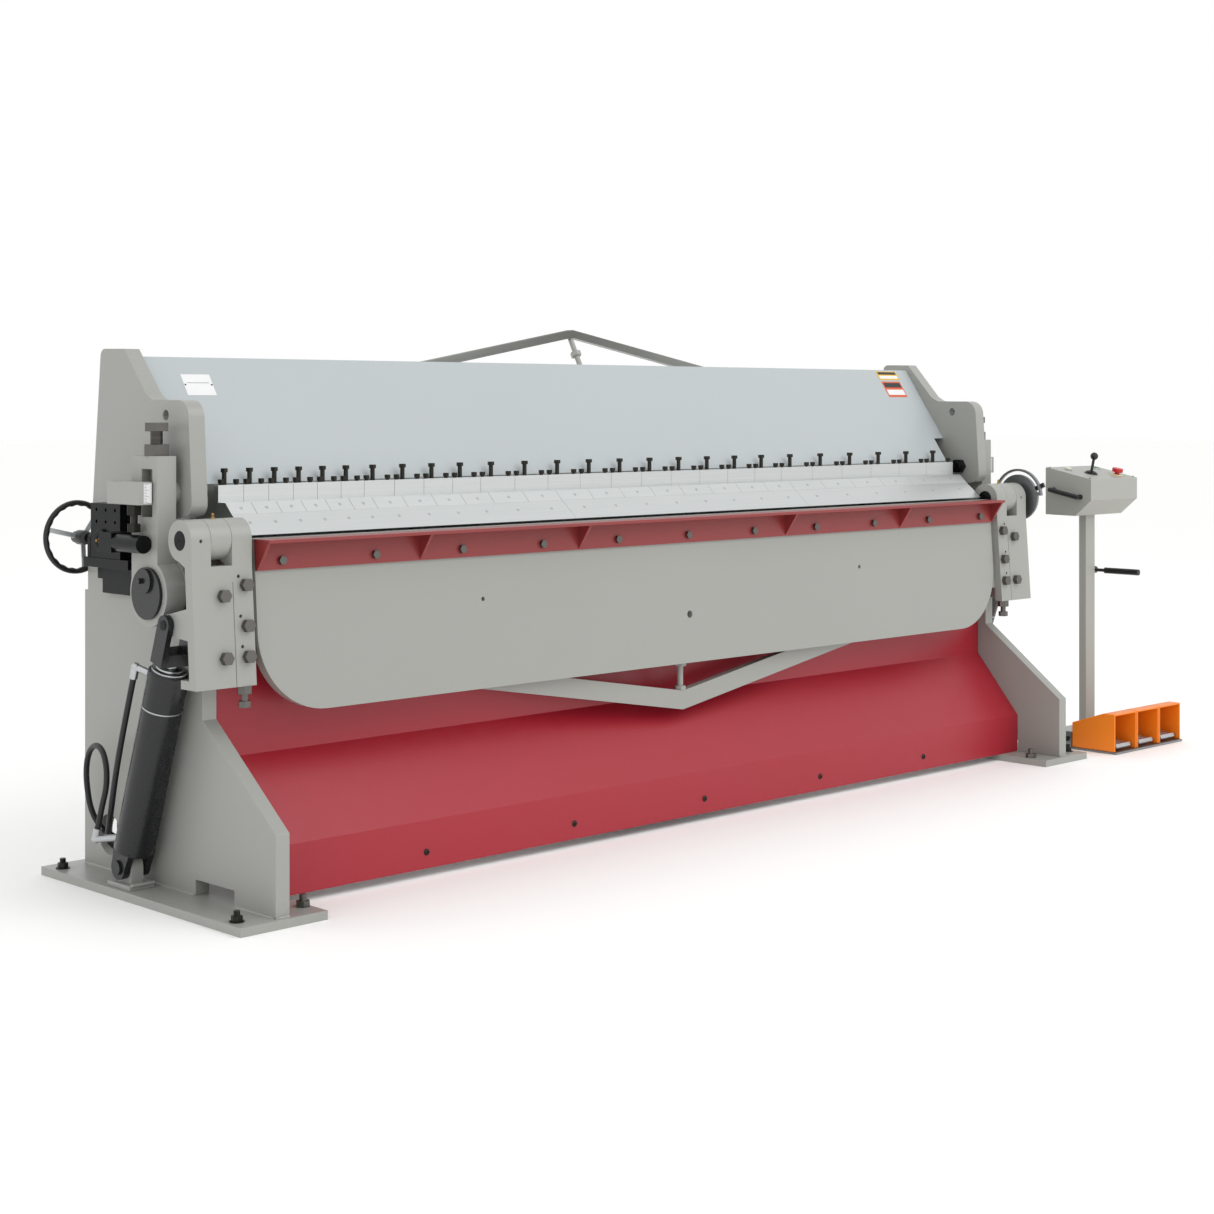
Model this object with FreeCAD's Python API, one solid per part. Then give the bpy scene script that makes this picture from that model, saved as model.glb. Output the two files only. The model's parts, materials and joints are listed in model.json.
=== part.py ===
import FreeCAD, Part
import math
import os

# Hydraulic box-and-pan sheet metal brake with a 3048 mm (120 inch) working length.
# Frame: X runs along the machine, to the operator's right. -Y faces the operator. +Z is up.
# The origin is on the floor, midway between the two base plates. All sizes are in millimetres.

V = FreeCAD.Vector

# ---- working line ----
inch = 25.4
finger_groups = [("narrow", [3 * inch] * 6 + [4 * inch] * 4), ("wide", [5 * inch] * 10 + [6 * inch] * 6)]
half_length = sum(sum(widths) for _, widths in finger_groups) / 2
finger_gap = 0.8            # play between two fingers
bed_top = 889.0             # plane the sheet lies on
jaw_gap = 6.0               # the beam is stored slightly open
hinge_y, hinge_z = -165.0, 892.0
nose_setback = 4.0          # nose tip behind the hinge axis
running = 0.05              # radial running clearance of every pin
side_play = 1.0             # between moving lugs and their neighbours

# ---- base and side frames ----
end_space = 66.0            # from the end of the tooling to the side frame
frame_inner, frame_thickness = half_length + end_space, 40.0
frame_outer = frame_inner + frame_thickness
base_inner, base_outer = frame_inner - 100.0, frame_outer + 106.0
base_depth, base_thickness = 900.0, 22.0
anchor_x, anchor_y, anchor_r = base_outer - 29.0, base_depth / 2 - 58.0, 9.0
jack_x, jack_y, jack_r = base_inner + 19.0, base_depth / 2 - 73.0, 9.0
frame_front, frame_rear = -436.5, 415.0
horn_front = -134.0

# ---- bed ----
bed_plate = 40.0            # bed thickness
bed_rear = 60.0
blade_height = 20.0
web_bottom = 330.0

# ---- leaf hinge ----
knuckle_r = 50.0
hinge_pin_r = 24.0
bush_wall = 4.0
knuckle_inner, knuckle_outer = frame_inner + 11.0, frame_outer + 29.0
arm_inner, arm_outer = knuckle_inner - 58.0, knuckle_outer + 56.0

# ---- bending leaf ----
lean = 0.0714               # forward lean, per unit of height
leaf_thickness = 30.0
leaf_back = hinge_y - 1.0   # back face at the sheet plane
leaf_front = leaf_back - leaf_thickness
leaf_bottom = 460.0
leaf_corner_r = 200.0
angle_wall, angle_reach, angle_drop = 8.0, 66.0, 77.0
arm_front = hinge_y - knuckle_r + 4.0
arm_thickness = 28.0
arm_bottom, arm_window = 539.0, 830.0

# ---- clamp beam ----
plate_inner, plate_thickness = frame_inner + 4.0, 46.0
plate_outer = plate_inner + plate_thickness
pivot_y, pivot_z, pivot_r = 215.0, 875.0, 22.0
link_pin_y, link_pin_z, link_pin_r = -22.0, 1000.0, 18.0
lift_y, lift_z, lift_r = 14.0, 1191.0, 13.0
tilted_thickness = 20.0
tilted_low, tilted_high = (-4.0, 1018.0), (217.0, 1341.0)
back_thickness = 16.0
rail_end = half_length + 16.0
finger_top = 1016.0

# ---- clamp drive ----
link_inner = plate_outer + 21.5
link_outer = link_inner + 54.0
link_front, link_back, link_top = -67.5, 48.0, 1092.0
pressure_r = 15.0
ring_y, ring_z = -28.0, 758.0
ring_outer_r, ring_bore_r = 82.0, 61.0
throw, throw_angle = 18.0, -50.0
disc_r, shaft_r = 48.0, 25.0
housing_r = 70.0
shaft_y = ring_y - throw * math.cos(math.radians(throw_angle))
shaft_z = ring_z - throw * math.sin(math.radians(throw_angle))

# ---- rear pivot carriage ----
carriage_inner = plate_outer + 2.0
carriage_outer = carriage_inner + 56.0
carriage_front, carriage_rear = 130.0, 270.0
carriage_low, carriage_high = 830.5, 968.0
wheel_x, wheel_y, wheel_z = carriage_inner + 14.0, 411.0, 873.0
wheel_r, rim_r, screw_r = 88.0, 8.0, 8.0

# ---- bending cylinders ----
foot_y, foot_z, foot_pin_r = 95.0, 73.0, 12.0
clevis_y, clevis_z, clevis_pin_r = -119.0, 688.0, 13.0
barrel_start, barrel_end = 46.0, 526.0
barrel_r, barrel_wall, rod_r = 50.0, 10.0, 20.0
piston_r = barrel_r - barrel_wall
cylinder_x = frame_outer + barrel_r + 8.0
fork_base, fork_depth, fork_cheek = 549.0, 24.0, 15.0
lug_r = 26.0
hose_r = 7.5
ferrule = 30.0
hose_hole, hose_hole_r = (292.0, 112.0), 52.0   # where the hoses enter the side frame

# ---- operator's console and pedals ----
console_x0 = base_outer + 326.0
console_x1 = console_x0 + 308.0
post_x0 = console_x0 + 110.0
post_x1 = post_x0 + 60.0
post_y0, post_y1 = -165.0, -135.0
console_front, console_rear = (-258.0, 947.0), (-64.0, 988.0)
pedal_x, pedal_pitch, pedal_count = base_outer + 134.0, 146.0, 3
pedal_front, pedal_back = -482.0, -270.0
cable_r = 4.5

nodes = {}


def box(x0, x1, y0, y1, z0, z1):
    return Part.makeBox(x1 - x0, y1 - y0, z1 - z0, V(x0, y0, z0))


def cyl_x(x0, x1, y, z, r):
    return Part.makeCylinder(r, x1 - x0, V(x0, y, z), V(1, 0, 0))


def cyl_y(x, y0, y1, z, r):
    return Part.makeCylinder(r, y1 - y0, V(x, y0, z), V(0, 1, 0))


def cyl_z(x, y, z0, z1, r):
    return Part.makeCylinder(r, z1 - z0, V(x, y, z0), V(0, 0, 1))


def hexagon(at, along, height, r):
    # hexagonal prism of corner radius r, starting at a point
    along = V(*along).normalize()
    side = V(1, 0, 0) if abs(along.x) < 0.9 else V(0, 1, 0)
    side = (side - along * side.dot(along)).normalize()
    other = along.cross(side)
    turns = [math.radians(60 * k) for k in range(7)]
    corners = [V(*at) + side * (r * math.cos(a)) + other * (r * math.sin(a)) for a in turns]
    return Part.Face(Part.makePolygon(corners)).extrude(along * height)


def slab_x(points, x0, x1):
    # prism of a (y, z) outline between two X planes
    ring = [V(x0, y, z) for y, z in points]
    return Part.Face(Part.makePolygon(ring + [ring[0]])).extrude(V(x1 - x0, 0, 0))


def slab_y(points, y0, y1):
    # prism of an (x, z) outline between two Y planes
    ring = [V(x, y0, z) for x, z in points]
    return Part.Face(Part.makePolygon(ring + [ring[0]])).extrude(V(0, y1 - y0, 0))


def round_corners(shape, corners):
    # rounds the edges along X that stand on the given (y, z) corners
    for y, z, r in corners:
        picked = [e for e in shape.Edges if math.hypot(e.CenterOfMass.y - y, e.CenterOfMass.z - z) < 0.5]
        shape = shape.makeFillet(r, picked)
    return shape


def fuse(*shapes):
    return shapes[0].multiFuse(list(shapes[1:])).removeSplitter()


def cut(shape, *tools):
    for tool in tools:
        shape = shape.cut(tool)
    return shape


def mirror(shape):
    return shape.mirror(V(0, 0, 0), V(1, 0, 0))


def add(name, *shapes):
    # one node: one solid, or a group of separate ones
    solids = [s for shape in shapes for s in shape.Solids]
    nodes[name] = solids[0] if len(solids) == 1 else Part.makeCompound(solids)


def add_sides(name, *shapes):
    # one node that holds the pieces of both ends of the machine
    add(name, *shapes, *[mirror(s) for s in shapes])


def add_pair(name, *shapes):
    # two nodes, for the right-hand and the left-hand end
    add(name + "_right", *shapes)
    add(name + "_left", *[mirror(s) for s in shapes])


def bolt(at, along, head_r, head_h, shank_r, shank):
    # the head stands out along the direction and the shank goes back from the point
    d = V(*along).normalize()
    shank_part = Part.makeCylinder(shank_r, shank + head_h / 2, V(*at) - d * shank, d)
    return fuse(hexagon(at, along, head_h, head_r), shank_part)


# ---- fixed frame ----

def base_plates():
    half = base_depth / 2
    plate = box(base_inner, base_outer, -half, half, 0, base_thickness)
    jacks = []
    for side in (-1, 1):
        plate = cut(plate, cyl_z(anchor_x, side * anchor_y, -1, base_thickness + 1, anchor_r),
                    cyl_z(jack_x, side * jack_y, -1, base_thickness + 1, jack_r + running))
        jacks.append(fuse(cyl_z(jack_x, side * jack_y, 2, 52, jack_r),
                          hexagon((jack_x, side * jack_y, base_thickness), (0, 0, 1), 14, 18)))
    add_sides("base_plates", plate)
    add_sides("jack_screws", *jacks)


def side_frames():
    shoulder, deck = 855.0, 805.0
    outline = [(frame_front, base_thickness), (frame_rear, base_thickness), (frame_rear, 735),
               (frame_rear - 15, 735), (frame_rear - 15, deck), (130, deck), (130, shoulder), (-100, shoulder),
               (-100, 925), (horn_front, 925), (horn_front, 451), (frame_front, 217)]
    side = slab_x(outline, frame_inner, frame_outer)
    side = cut(side, box(frame_inner - 1, frame_outer + 1, -268, -103, base_thickness - 1, 60),
               cyl_x(frame_inner - 1, frame_outer + 1, *hose_hole, hose_hole_r),
               cyl_x(frame_inner - 1, knuckle_inner, hinge_y, hinge_z, knuckle_r + side_play),
               cyl_x(frame_inner - 1, frame_outer + 1, hinge_y, hinge_z, hinge_pin_r + bush_wall),
               cyl_x(frame_inner - 1, frame_outer + 1, shaft_y, shaft_z, shaft_r + 6))
    add_pair("side_frame", side)


def bearings():
    # fixed middle knuckle of each leaf hinge, and the housing of the eccentric shaft
    knuckle = cyl_x(knuckle_inner, knuckle_outer, hinge_y, hinge_z, knuckle_r)
    web = slab_x([(hinge_y - 4, hinge_z - knuckle_r + 1), (horn_front, 806), (horn_front, 925),
                  (hinge_y, hinge_z + knuckle_r - 1)], frame_outer, knuckle_outer)
    flange = box(frame_outer, knuckle_outer, horn_front, -102, 806, 925)
    bore = cyl_x(knuckle_inner - 1, knuckle_outer + 1, hinge_y, hinge_z, hinge_pin_r + bush_wall)
    horn = box(frame_inner - 1, frame_outer, horn_front, -100, 400, 926)
    bearing = cut(fuse(knuckle, web, flange), bore, horn)
    housing = cut(cyl_x(frame_outer, link_inner - side_play, shaft_y, shaft_z, housing_r),
                  cyl_x(frame_outer - 1, link_inner, shaft_y, shaft_z, shaft_r + bush_wall))
    add_sides("bearing_housings", bearing, housing)
    bushes = []
    for x0, x1, y, z, r in ((knuckle_inner, knuckle_outer, hinge_y, hinge_z, hinge_pin_r),
                            (frame_outer, link_inner - side_play, shaft_y, shaft_z, shaft_r)):
        bushes.append(cut(cyl_x(x0, x1, y, z, r + bush_wall), cyl_x(x0 - 1, x1 + 1, y, z, r + running)))
    add_sides("bronze_bushes", *bushes)


def bed():
    end = frame_inner
    blade_front, blade_back = hinge_y + 2, -123.0
    add("bed_blade", box(-half_length, half_length, blade_front, blade_back, bed_top - blade_height, bed_top))
    under = bed_top - bed_plate
    plate = box(-end, end, blade_back, bed_rear, under, bed_top)
    lip = box(-half_length, half_length, blade_front + 3, blade_back, under, bed_top - blade_height)
    webs = [box(-end, end, y0, y1, web_bottom, under) for y0, y1 in ((-95, -75), (bed_rear - 24, bed_rear))]
    notch = cyl_x(half_length, end + 1, hinge_y, hinge_z, knuckle_r + side_play)
    add("bed_plate", cut(fuse(plate, lip), notch, mirror(notch)))
    tubes, wall = [], 8.0
    for y0, y1, z0, z1 in ((175, 325, 100, 200), (-250, -190, 80, 130)):
        inside = box(-end - 1, end + 1, y0 + wall, y1 - wall, z0 + wall, z1 - wall)
        tubes.append(cut(box(-end, end, y0, y1, z0, z1), inside))
    add("frame_rails", *webs, *tubes)


def front_cover():
    sheet, cover_top = 4.0, 620.0
    low_y, high_y = -268.0, -102.0
    low_bend, high_bend = 147.0, 348.0
    outer = [(low_y, base_thickness), (low_y, low_bend), (high_y, high_bend), (high_y, cover_top)]
    inner = [(high_y + sheet, cover_top), (high_y + sheet, high_bend - 1), (low_y + sheet, low_bend - 1),
             (low_y + sheet, base_thickness)]
    add("front_cover", slab_x(outer + inner, -frame_inner, frame_inner))


def leaf_stops():
    # pads on the horns that the hinge arms come to rest on
    low, high, gap = 545.0, 585.0, 0.3
    back = arm_front + arm_thickness + gap
    pad = [(lean_y(back, low), low), (horn_front, low), (horn_front, high), (lean_y(back, high), high)]
    add_sides("leaf_stops", slab_x(pad, frame_inner + 4, frame_outer - 4))


def hydraulic_unit():
    tank = cut(box(-380, 300, 150, 350, 200, 420), box(-374, 294, 156, 344, 206, 414))
    lid = box(-386, 306, 144, 356, 420, 428)
    motor = fuse(cyl_z(-200, 250, 428, 470, 96), cyl_z(-200, 250, 470, 720, 82), cyl_z(-200, 250, 720, 760, 76))
    valves = box(60, 230, 200, 300, 428, 500)
    coils = [box(75 + 52 * k, 115 + 52 * k, 160, 200, 436, 490) for k in range(3)]
    add("hydraulic_unit", tank, lid, motor, valves, *coils)


# ---- bending leaf ----

def leaning(y_front, y_back, z0, z1, x0, x1):
    # slab between two leaning faces that are given by their Y at the sheet plane
    points = [(lean_y(y, z), z) for y, z in ((y_front, z0), (y_back, z0), (y_back, z1), (y_front, z1))]
    return slab_x(points, x0, x1)


def lean_y(y, z):
    return y - lean * (bed_top - z)


def leaf_outline():
    # front view of the leaf, with its two large lower corners
    r, low = leaf_corner_r, leaf_bottom
    k = r * (1 - math.sqrt(0.5))
    edges = []
    corners = [(-half_length, bed_top), (half_length, bed_top), (half_length, low + r)]
    edges += [Part.makeLine(V(a[0], 0, a[1]), V(b[0], 0, b[1])) for a, b in zip(corners, corners[1:])]
    edges.append(Part.Arc(V(half_length, 0, low + r), V(half_length - k, 0, low + k),
                          V(half_length - r, 0, low)).toShape())
    edges.append(Part.makeLine(V(half_length - r, 0, low), V(r - half_length, 0, low)))
    edges.append(Part.Arc(V(r - half_length, 0, low), V(k - half_length, 0, low + k),
                          V(-half_length, 0, low + r)).toShape())
    edges.append(Part.makeLine(V(-half_length, 0, low + r), V(-half_length, 0, bed_top)))
    return Part.Face(Part.Wire(edges))


def leaf():
    outline = leaf_outline().extrude(V(0, 120, 0))
    outline.translate(V(0, leaf_front - 60, 0))
    plate = outline.common(leaning(leaf_front, leaf_back, leaf_bottom - 1, bed_top, -half_length, half_length))
    tapped = ((-797, 697, 6), (797, 697, 6), (0, 601, 11))
    plate = cut(plate, *[cyl_y(x, -300, -100, z, r) for x, z, r in tapped])
    add("leaf_plate", plate)

    root = leaf_front - angle_wall
    upright = leaning(root, leaf_front, bed_top - angle_drop, bed_top, -half_length, half_length)
    shelf = box(-half_length, half_length, leaf_front - angle_reach, leaf_front, bed_top - angle_wall, bed_top)
    shelf = cut(shelf, leaning(leaf_front, leaf_back, bed_top - 20, bed_top, -half_length, half_length))
    gussets = []
    foot = (lean_y(root, bed_top - angle_drop), bed_top - angle_drop + 2)
    for x in (half_length - 5, 1010.0, 440.0):
        triangle = [(root + 2, bed_top - 4), (leaf_front - angle_reach + 4, bed_top - 4), foot,
                    (foot[0] + 2, foot[1])]
        gussets += [slab_x(triangle, side * x - 4, side * x + 4) for side in (-1, 1)]
    add("leaf_angle", fuse(upright, shelf, *gussets))

    # truss behind the lower edge, drawn straight by one strut
    slope, bar, apex, reach, depth = 0.172, 56.0, 318.0, 1100.0, 26.0
    y0 = lean_y(leaf_back, apex + bar + slope * reach)
    rise = slope * reach
    right_bar = slab_y([(0, apex), (reach, apex + rise), (reach, apex + bar + rise), (0, apex + bar)],
                       y0, y0 + depth)
    y = y0 + depth / 2
    low = apex + bar - 1
    seat = cut(box(-34, 34, y0 - 10, y0 + depth, 520, 560), plate)
    strut = fuse(cyl_z(0, y, low + 1, 520, 9), hexagon((0, y, low + 1), (0, 0, 1), 14, 17),
                 hexagon((0, y, 446), (0, 0, 1), 16, 19))
    add("leaf_truss", *[cut(side, plate, strut) for side in (right_bar, mirror(right_bar))], seat, strut)


def hinge_arms():
    # each arm has two hinge knuckles, a front plate over the leaf's end, and the cylinder's lug
    back = arm_front + arm_thickness
    shapes = [leaning(arm_front, back, arm_bottom, arm_window, arm_inner, arm_outer),
              leaning(back - 1, leaf_back, 585, 815, half_length, plate_outer)]
    for x0, x1 in ((arm_inner, knuckle_inner - side_play), (knuckle_outer + side_play, arm_outer)):
        shapes.append(cyl_x(x0, x1, hinge_y, hinge_z, knuckle_r))
        shapes.append(slab_x([(lean_y(arm_front, arm_window), arm_window - 1),
                              (lean_y(back, arm_window), arm_window - 1), (hinge_y + 30, hinge_z - 38),
                              (hinge_y, hinge_z), (hinge_y - knuckle_r, hinge_z)], x0, x1))
    shapes.append(slab_x([(lean_y(back, 655) - 2, 655), (clevis_y, clevis_z - lug_r), (clevis_y, clevis_z + lug_r),
                          (lean_y(back, 731) - 2, 731)], link_inner, arm_outer))
    shapes.append(cyl_x(link_inner, arm_outer, clevis_y, clevis_z, lug_r))
    shapes.append(slab_x([(lean_y(back, arm_bottom) - 2, arm_bottom), (-171, arm_bottom), (-171, 560),
                          (lean_y(back, 560) - 2, 560)], link_inner, arm_outer))
    arm = fuse(*shapes)
    dowel_r = 4.5
    dowels = [cyl_y(arm_inner + x, -300, -185, z, dowel_r) for x, z in ((40, 803), (38, 707), (36, 634))]
    dowels.append(cyl_y(knuckle_outer + 29, hinge_y - knuckle_r - 1, hinge_y - knuckle_r + 14, hinge_z, dowel_r))
    seam = leaning(arm_front - 1, arm_front + 2, arm_bottom - 1, arm_window - 40, knuckle_inner - 2, knuckle_inner)
    relief = leaning(back - 10, back + 12, 725, arm_window + 1, plate_outer, link_inner)
    arm = cut(arm, relief, cyl_x(arm_inner - 1, arm_outer + 1, hinge_y, hinge_z, hinge_pin_r),
              cyl_x(link_inner - 1, arm_outer + 1, clevis_y, clevis_z, clevis_pin_r), seam, *dowels)
    add_sides("hinge_arms", arm)
    add_sides("arm_pins", cyl_x(arm_inner, arm_outer, hinge_y, hinge_z, hinge_pin_r),
              cyl_x(link_inner, arm_outer, clevis_y, clevis_z, clevis_pin_r))


def leaf_bolts():
    face = leaf_front - angle_wall
    forward = (0, -1, lean)
    bolts = [bolt((290.0 * k, lean_y(face, 834), 834), forward, 12, 9, 5, 0) for k in range(-5, 6)]
    outer, inner = plate_outer - 10, arm_inner + 22
    for x, z in ((outer, 758), (outer, 609), (inner, 781), (inner, 683), (inner, 609)):
        arm_bolt = bolt((x, lean_y(arm_front, z), z), forward, 17, 16, 10, 0)
        bolts += [arm_bolt, mirror(arm_bolt)]
    y = lean_y(arm_front + arm_thickness / 2, arm_bottom)
    x = arm_inner + 26
    screw = fuse(cyl_z(x, y, 492, arm_bottom, 9), hexagon((x, y, 519), (0, 0, 1), 20, 19),
                 hexagon((x, y, 486), (0, 0, 1), 16, 16))
    add("leaf_bolts", *bolts, screw, mirror(screw))


# ---- clamp beam ----

def tilt_frame():
    # unit vector up the tilted plate, and the unit normal into the beam
    dy, dz = tilted_high[0] - tilted_low[0], tilted_high[1] - tilted_low[1]
    length = math.hypot(dy, dz)
    return (dy / length, dz / length), (dz / length, -dy / length)


def beam_body():
    end_plate = slab_x([(319, 1361), (208, 1359), (105, 1245), (77, 1229), (-86, 1228), (-102, 985), (-102, 948),
                        (146, 905), (166, 850), (264, 850), (362, 930)], plate_inner, plate_outer)
    end_plate = round_corners(end_plate, [(319, 1361, 20), (77, 1229, 40), (-86, 1228, 45), (-102, 948, 30),
                                          (362, 930, 40)])
    end_plate = fuse(end_plate, cyl_x(plate_inner, plate_outer, pivot_y, pivot_z, 60))
    holes = ((lift_y, lift_z, lift_r), (link_pin_y, link_pin_z, link_pin_r),
             (pivot_y, pivot_z, pivot_r + running))
    end_plate = cut(end_plate, *[cyl_x(plate_inner - 1, plate_outer + 1, y, z, r) for y, z, r in holes])
    add_sides("beam_end_plates", end_plate)

    _, (ny, nz) = tilt_frame()
    (y0, z0), (y1, z1) = tilted_low, tilted_high
    t = tilted_thickness
    tilted = slab_x([(y0, z0), (y1, z1), (y1 + ny * t, z1 + nz * t), (y0 + ny * t, z0 + nz * t)],
                    -plate_inner, plate_inner)
    corner = box(rail_end, plate_inner + 1, -60, 100, 980, 1097)
    tilted = cut(tilted, box(-plate_inner - 1, plate_inner + 1, -60, 100, 980, z0), corner, mirror(corner))

    top = (y1 + ny * t, z1 + nz * t)
    rail_low, rail_back = 900.0, 149.0
    slope = (top[0] - rail_back) / (top[1] - rail_low)

    def back_at(z):
        return rail_back + slope * (z - rail_low)

    def front_at(z):
        return top[0] - (y1 - y0) / (z1 - z0) * (top[1] - z)

    rail = [(0.5, z0), (0.5, 1001.3), (75.5, rail_low), (rail_back, rail_low), (back_at(z0), z0)]
    add("finger_rail", slab_x(rail, -rail_end, rail_end))
    back = slab_x([(back_at(rail_low), rail_low), (back_at(rail_low) + back_thickness, rail_low),
                   (back_at(top[1]) + back_thickness, top[1]), (back_at(top[1]), top[1])], -plate_inner, plate_inner)
    rib_top = 1300.0
    rib = [(front_at(z0), z0), (back_at(z0), z0), (back_at(rib_top), rib_top), (front_at(rib_top), rib_top)]
    rib_pitch, rib_half = 600.0, 6.0
    ribs = [slab_x(rib, rib_pitch * k - rib_half, rib_pitch * k + rib_half) for k in range(-2, 3)]
    add("beam_plates", tilted, back, *ribs)

    # truss along the back of the beam
    y2, depth, apex, bar, slope_x, reach = 284.0, 28.0, 1449.0, 24.0, 0.18, 1100.0
    fall = slope_x * reach
    right_bar = slab_y([(0, apex), (reach, apex - fall), (reach, apex - bar - fall), (0, apex - bar)],
                       y2, y2 + depth)
    bars = [right_bar, mirror(right_bar)]
    feet = [cut(box(s * 1070 - 30, s * 1070 + 30, 200, y2, apex - bar - fall + 6, apex - fall), back)
            .common(box(-1200, 1200, 235, y2, 1000, 1400)) for s in (-1, 1)]
    strut_low = V(0, back_at(1318) + back_thickness - 2, 1324)
    strut_high = V(0, y2 + depth / 2, apex - bar + 1)
    along = strut_high - strut_low
    strut = Part.makeCylinder(8, along.Length, strut_low, along)
    nut = hexagon(tuple(strut_low + along * 0.42), tuple(along), 15, 17)
    strut = cut(fuse(strut, nut), back, *bars)
    feet = [max(foot.Solids, key=lambda s: s.CenterOfMass.y) for foot in feet]
    add("beam_truss", *bars, *feet, max(strut.Solids, key=lambda s: s.Volume))


def fingers():
    low = bed_top + jaw_gap
    fold, seat, heel = (-101.0, 945.4), (-71.5, 916.0), (-91.5, low)
    profile = [(-42, finger_top), (-42, 973), (-73, 973), fold, seat, heel, (78, low), (0, 1001), (0, finger_top)]
    tip = hinge_y + nose_setback
    nose = [fold, (tip, low + 1.5), (tip + 1, low), heel, seat]
    bolts = []
    x = -half_length
    for name, widths in finger_groups:
        group = []
        for width in widths:
            x0, x1 = x + finger_gap / 2, x + width - finger_gap / 2
            finger = slab_x(profile, x0, x1)
            for bx, by, r, head, height in ((x0 + 15, -31, 5, 8.5, 14), (x1 - 15, -31, 5, 8.5, 14),
                                            ((x0 + x1) / 2, -12, 6, 10, 41)):
                finger = cut(finger, cyl_z(bx, by, finger_top - 25, finger_top + 1, r))
                shank = cyl_z(bx, by, finger_top - 25, finger_top + height - 8, r)
                bolts.append(fuse(shank, hexagon((bx, by, finger_top + height - 10), (0, 0, 1), 10, head)))
            group.append(finger)
            x += width
        add("fingers_" + name, *group)
    add("finger_bolts", *bolts)
    bars = []
    x = -half_length
    for end in (x + 44 * inch, x + 84 * inch, half_length):
        bars.append(slab_x(nose, x + finger_gap / 2, end - finger_gap / 2))
        x = end
    add("nose_bars", *bars)


def link_pins():
    pin = fuse(cyl_x(plate_inner - 30, link_outer, link_pin_y, link_pin_z, link_pin_r),
               hexagon((plate_inner, link_pin_y, link_pin_z), (-1, 0, 0), 22, 26))
    pin = cut(pin, cyl_x(plate_inner - 31, plate_inner - 26, link_pin_y, link_pin_z, 5))
    collar = cut(cyl_x(plate_outer, link_inner - side_play, link_pin_y, link_pin_z, 32),
                 cyl_x(plate_outer - 1, link_inner, link_pin_y, link_pin_z, link_pin_r))
    add_sides("link_pins", pin, collar)


# ---- clamp links and eccentric shaft ----

def links():
    half, slot_low, slot_high = 24.0, 944.0, 1060.0
    arm = fuse(box(link_inner, link_outer, link_front, link_back, ring_z, link_top),
               cyl_x(link_inner, link_outer, ring_y, ring_z, ring_outer_r))
    mid = (link_inner + link_outer) / 2
    slot = box(link_inner - 1, link_outer + 1, link_pin_y - half, link_pin_y + half, slot_low, slot_high)
    arm = cut(arm, slot,
              cyl_x(link_inner - 1, link_outer + 1, ring_y, ring_z, ring_bore_r),
              cyl_z(mid, link_pin_y, slot_high - 1, link_top + 1, pressure_r))
    add_pair("link_arm", arm)
    block = cut(box(link_inner, link_outer, link_pin_y - half, link_pin_y + half,
                    link_pin_z - 26, link_pin_z + 26),
                cyl_x(link_inner - 1, link_outer + 1, link_pin_y, link_pin_z, link_pin_r + running))
    screw = fuse(cyl_z(mid, link_pin_y, link_pin_z + 26, 1160, pressure_r),
                 hexagon((mid, link_pin_y, 1152), (0, 0, 1), 21, 32))
    nut = cut(hexagon((mid, link_pin_y, link_top), (0, 0, 1), 28, 34),
              cyl_z(mid, link_pin_y, link_top - 1, 1130, pressure_r))
    add_pair("pressure_screw", block, screw, nut)


def eccentric_shaft():
    disc = cyl_x(link_inner - 0.4, link_outer, ring_y, ring_z, disc_r)
    add("eccentric_shaft", fuse(cyl_x(-link_inner, link_inner, shaft_y, shaft_z, shaft_r), disc, mirror(disc)))
    x = link_outer + 0.5
    cover = fuse(cyl_x(link_outer, x + 8, ring_y, ring_z, 30), cyl_x(x, x + 8, ring_y, ring_z, 64),
                 cyl_x(x, x + 14, ring_y, ring_z + 30, 30), cyl_x(x, x + 22, ring_y + 12, ring_z + 30, 7))
    add_sides("eccentric_covers", cover)


# ---- rear pivot carriage ----

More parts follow.
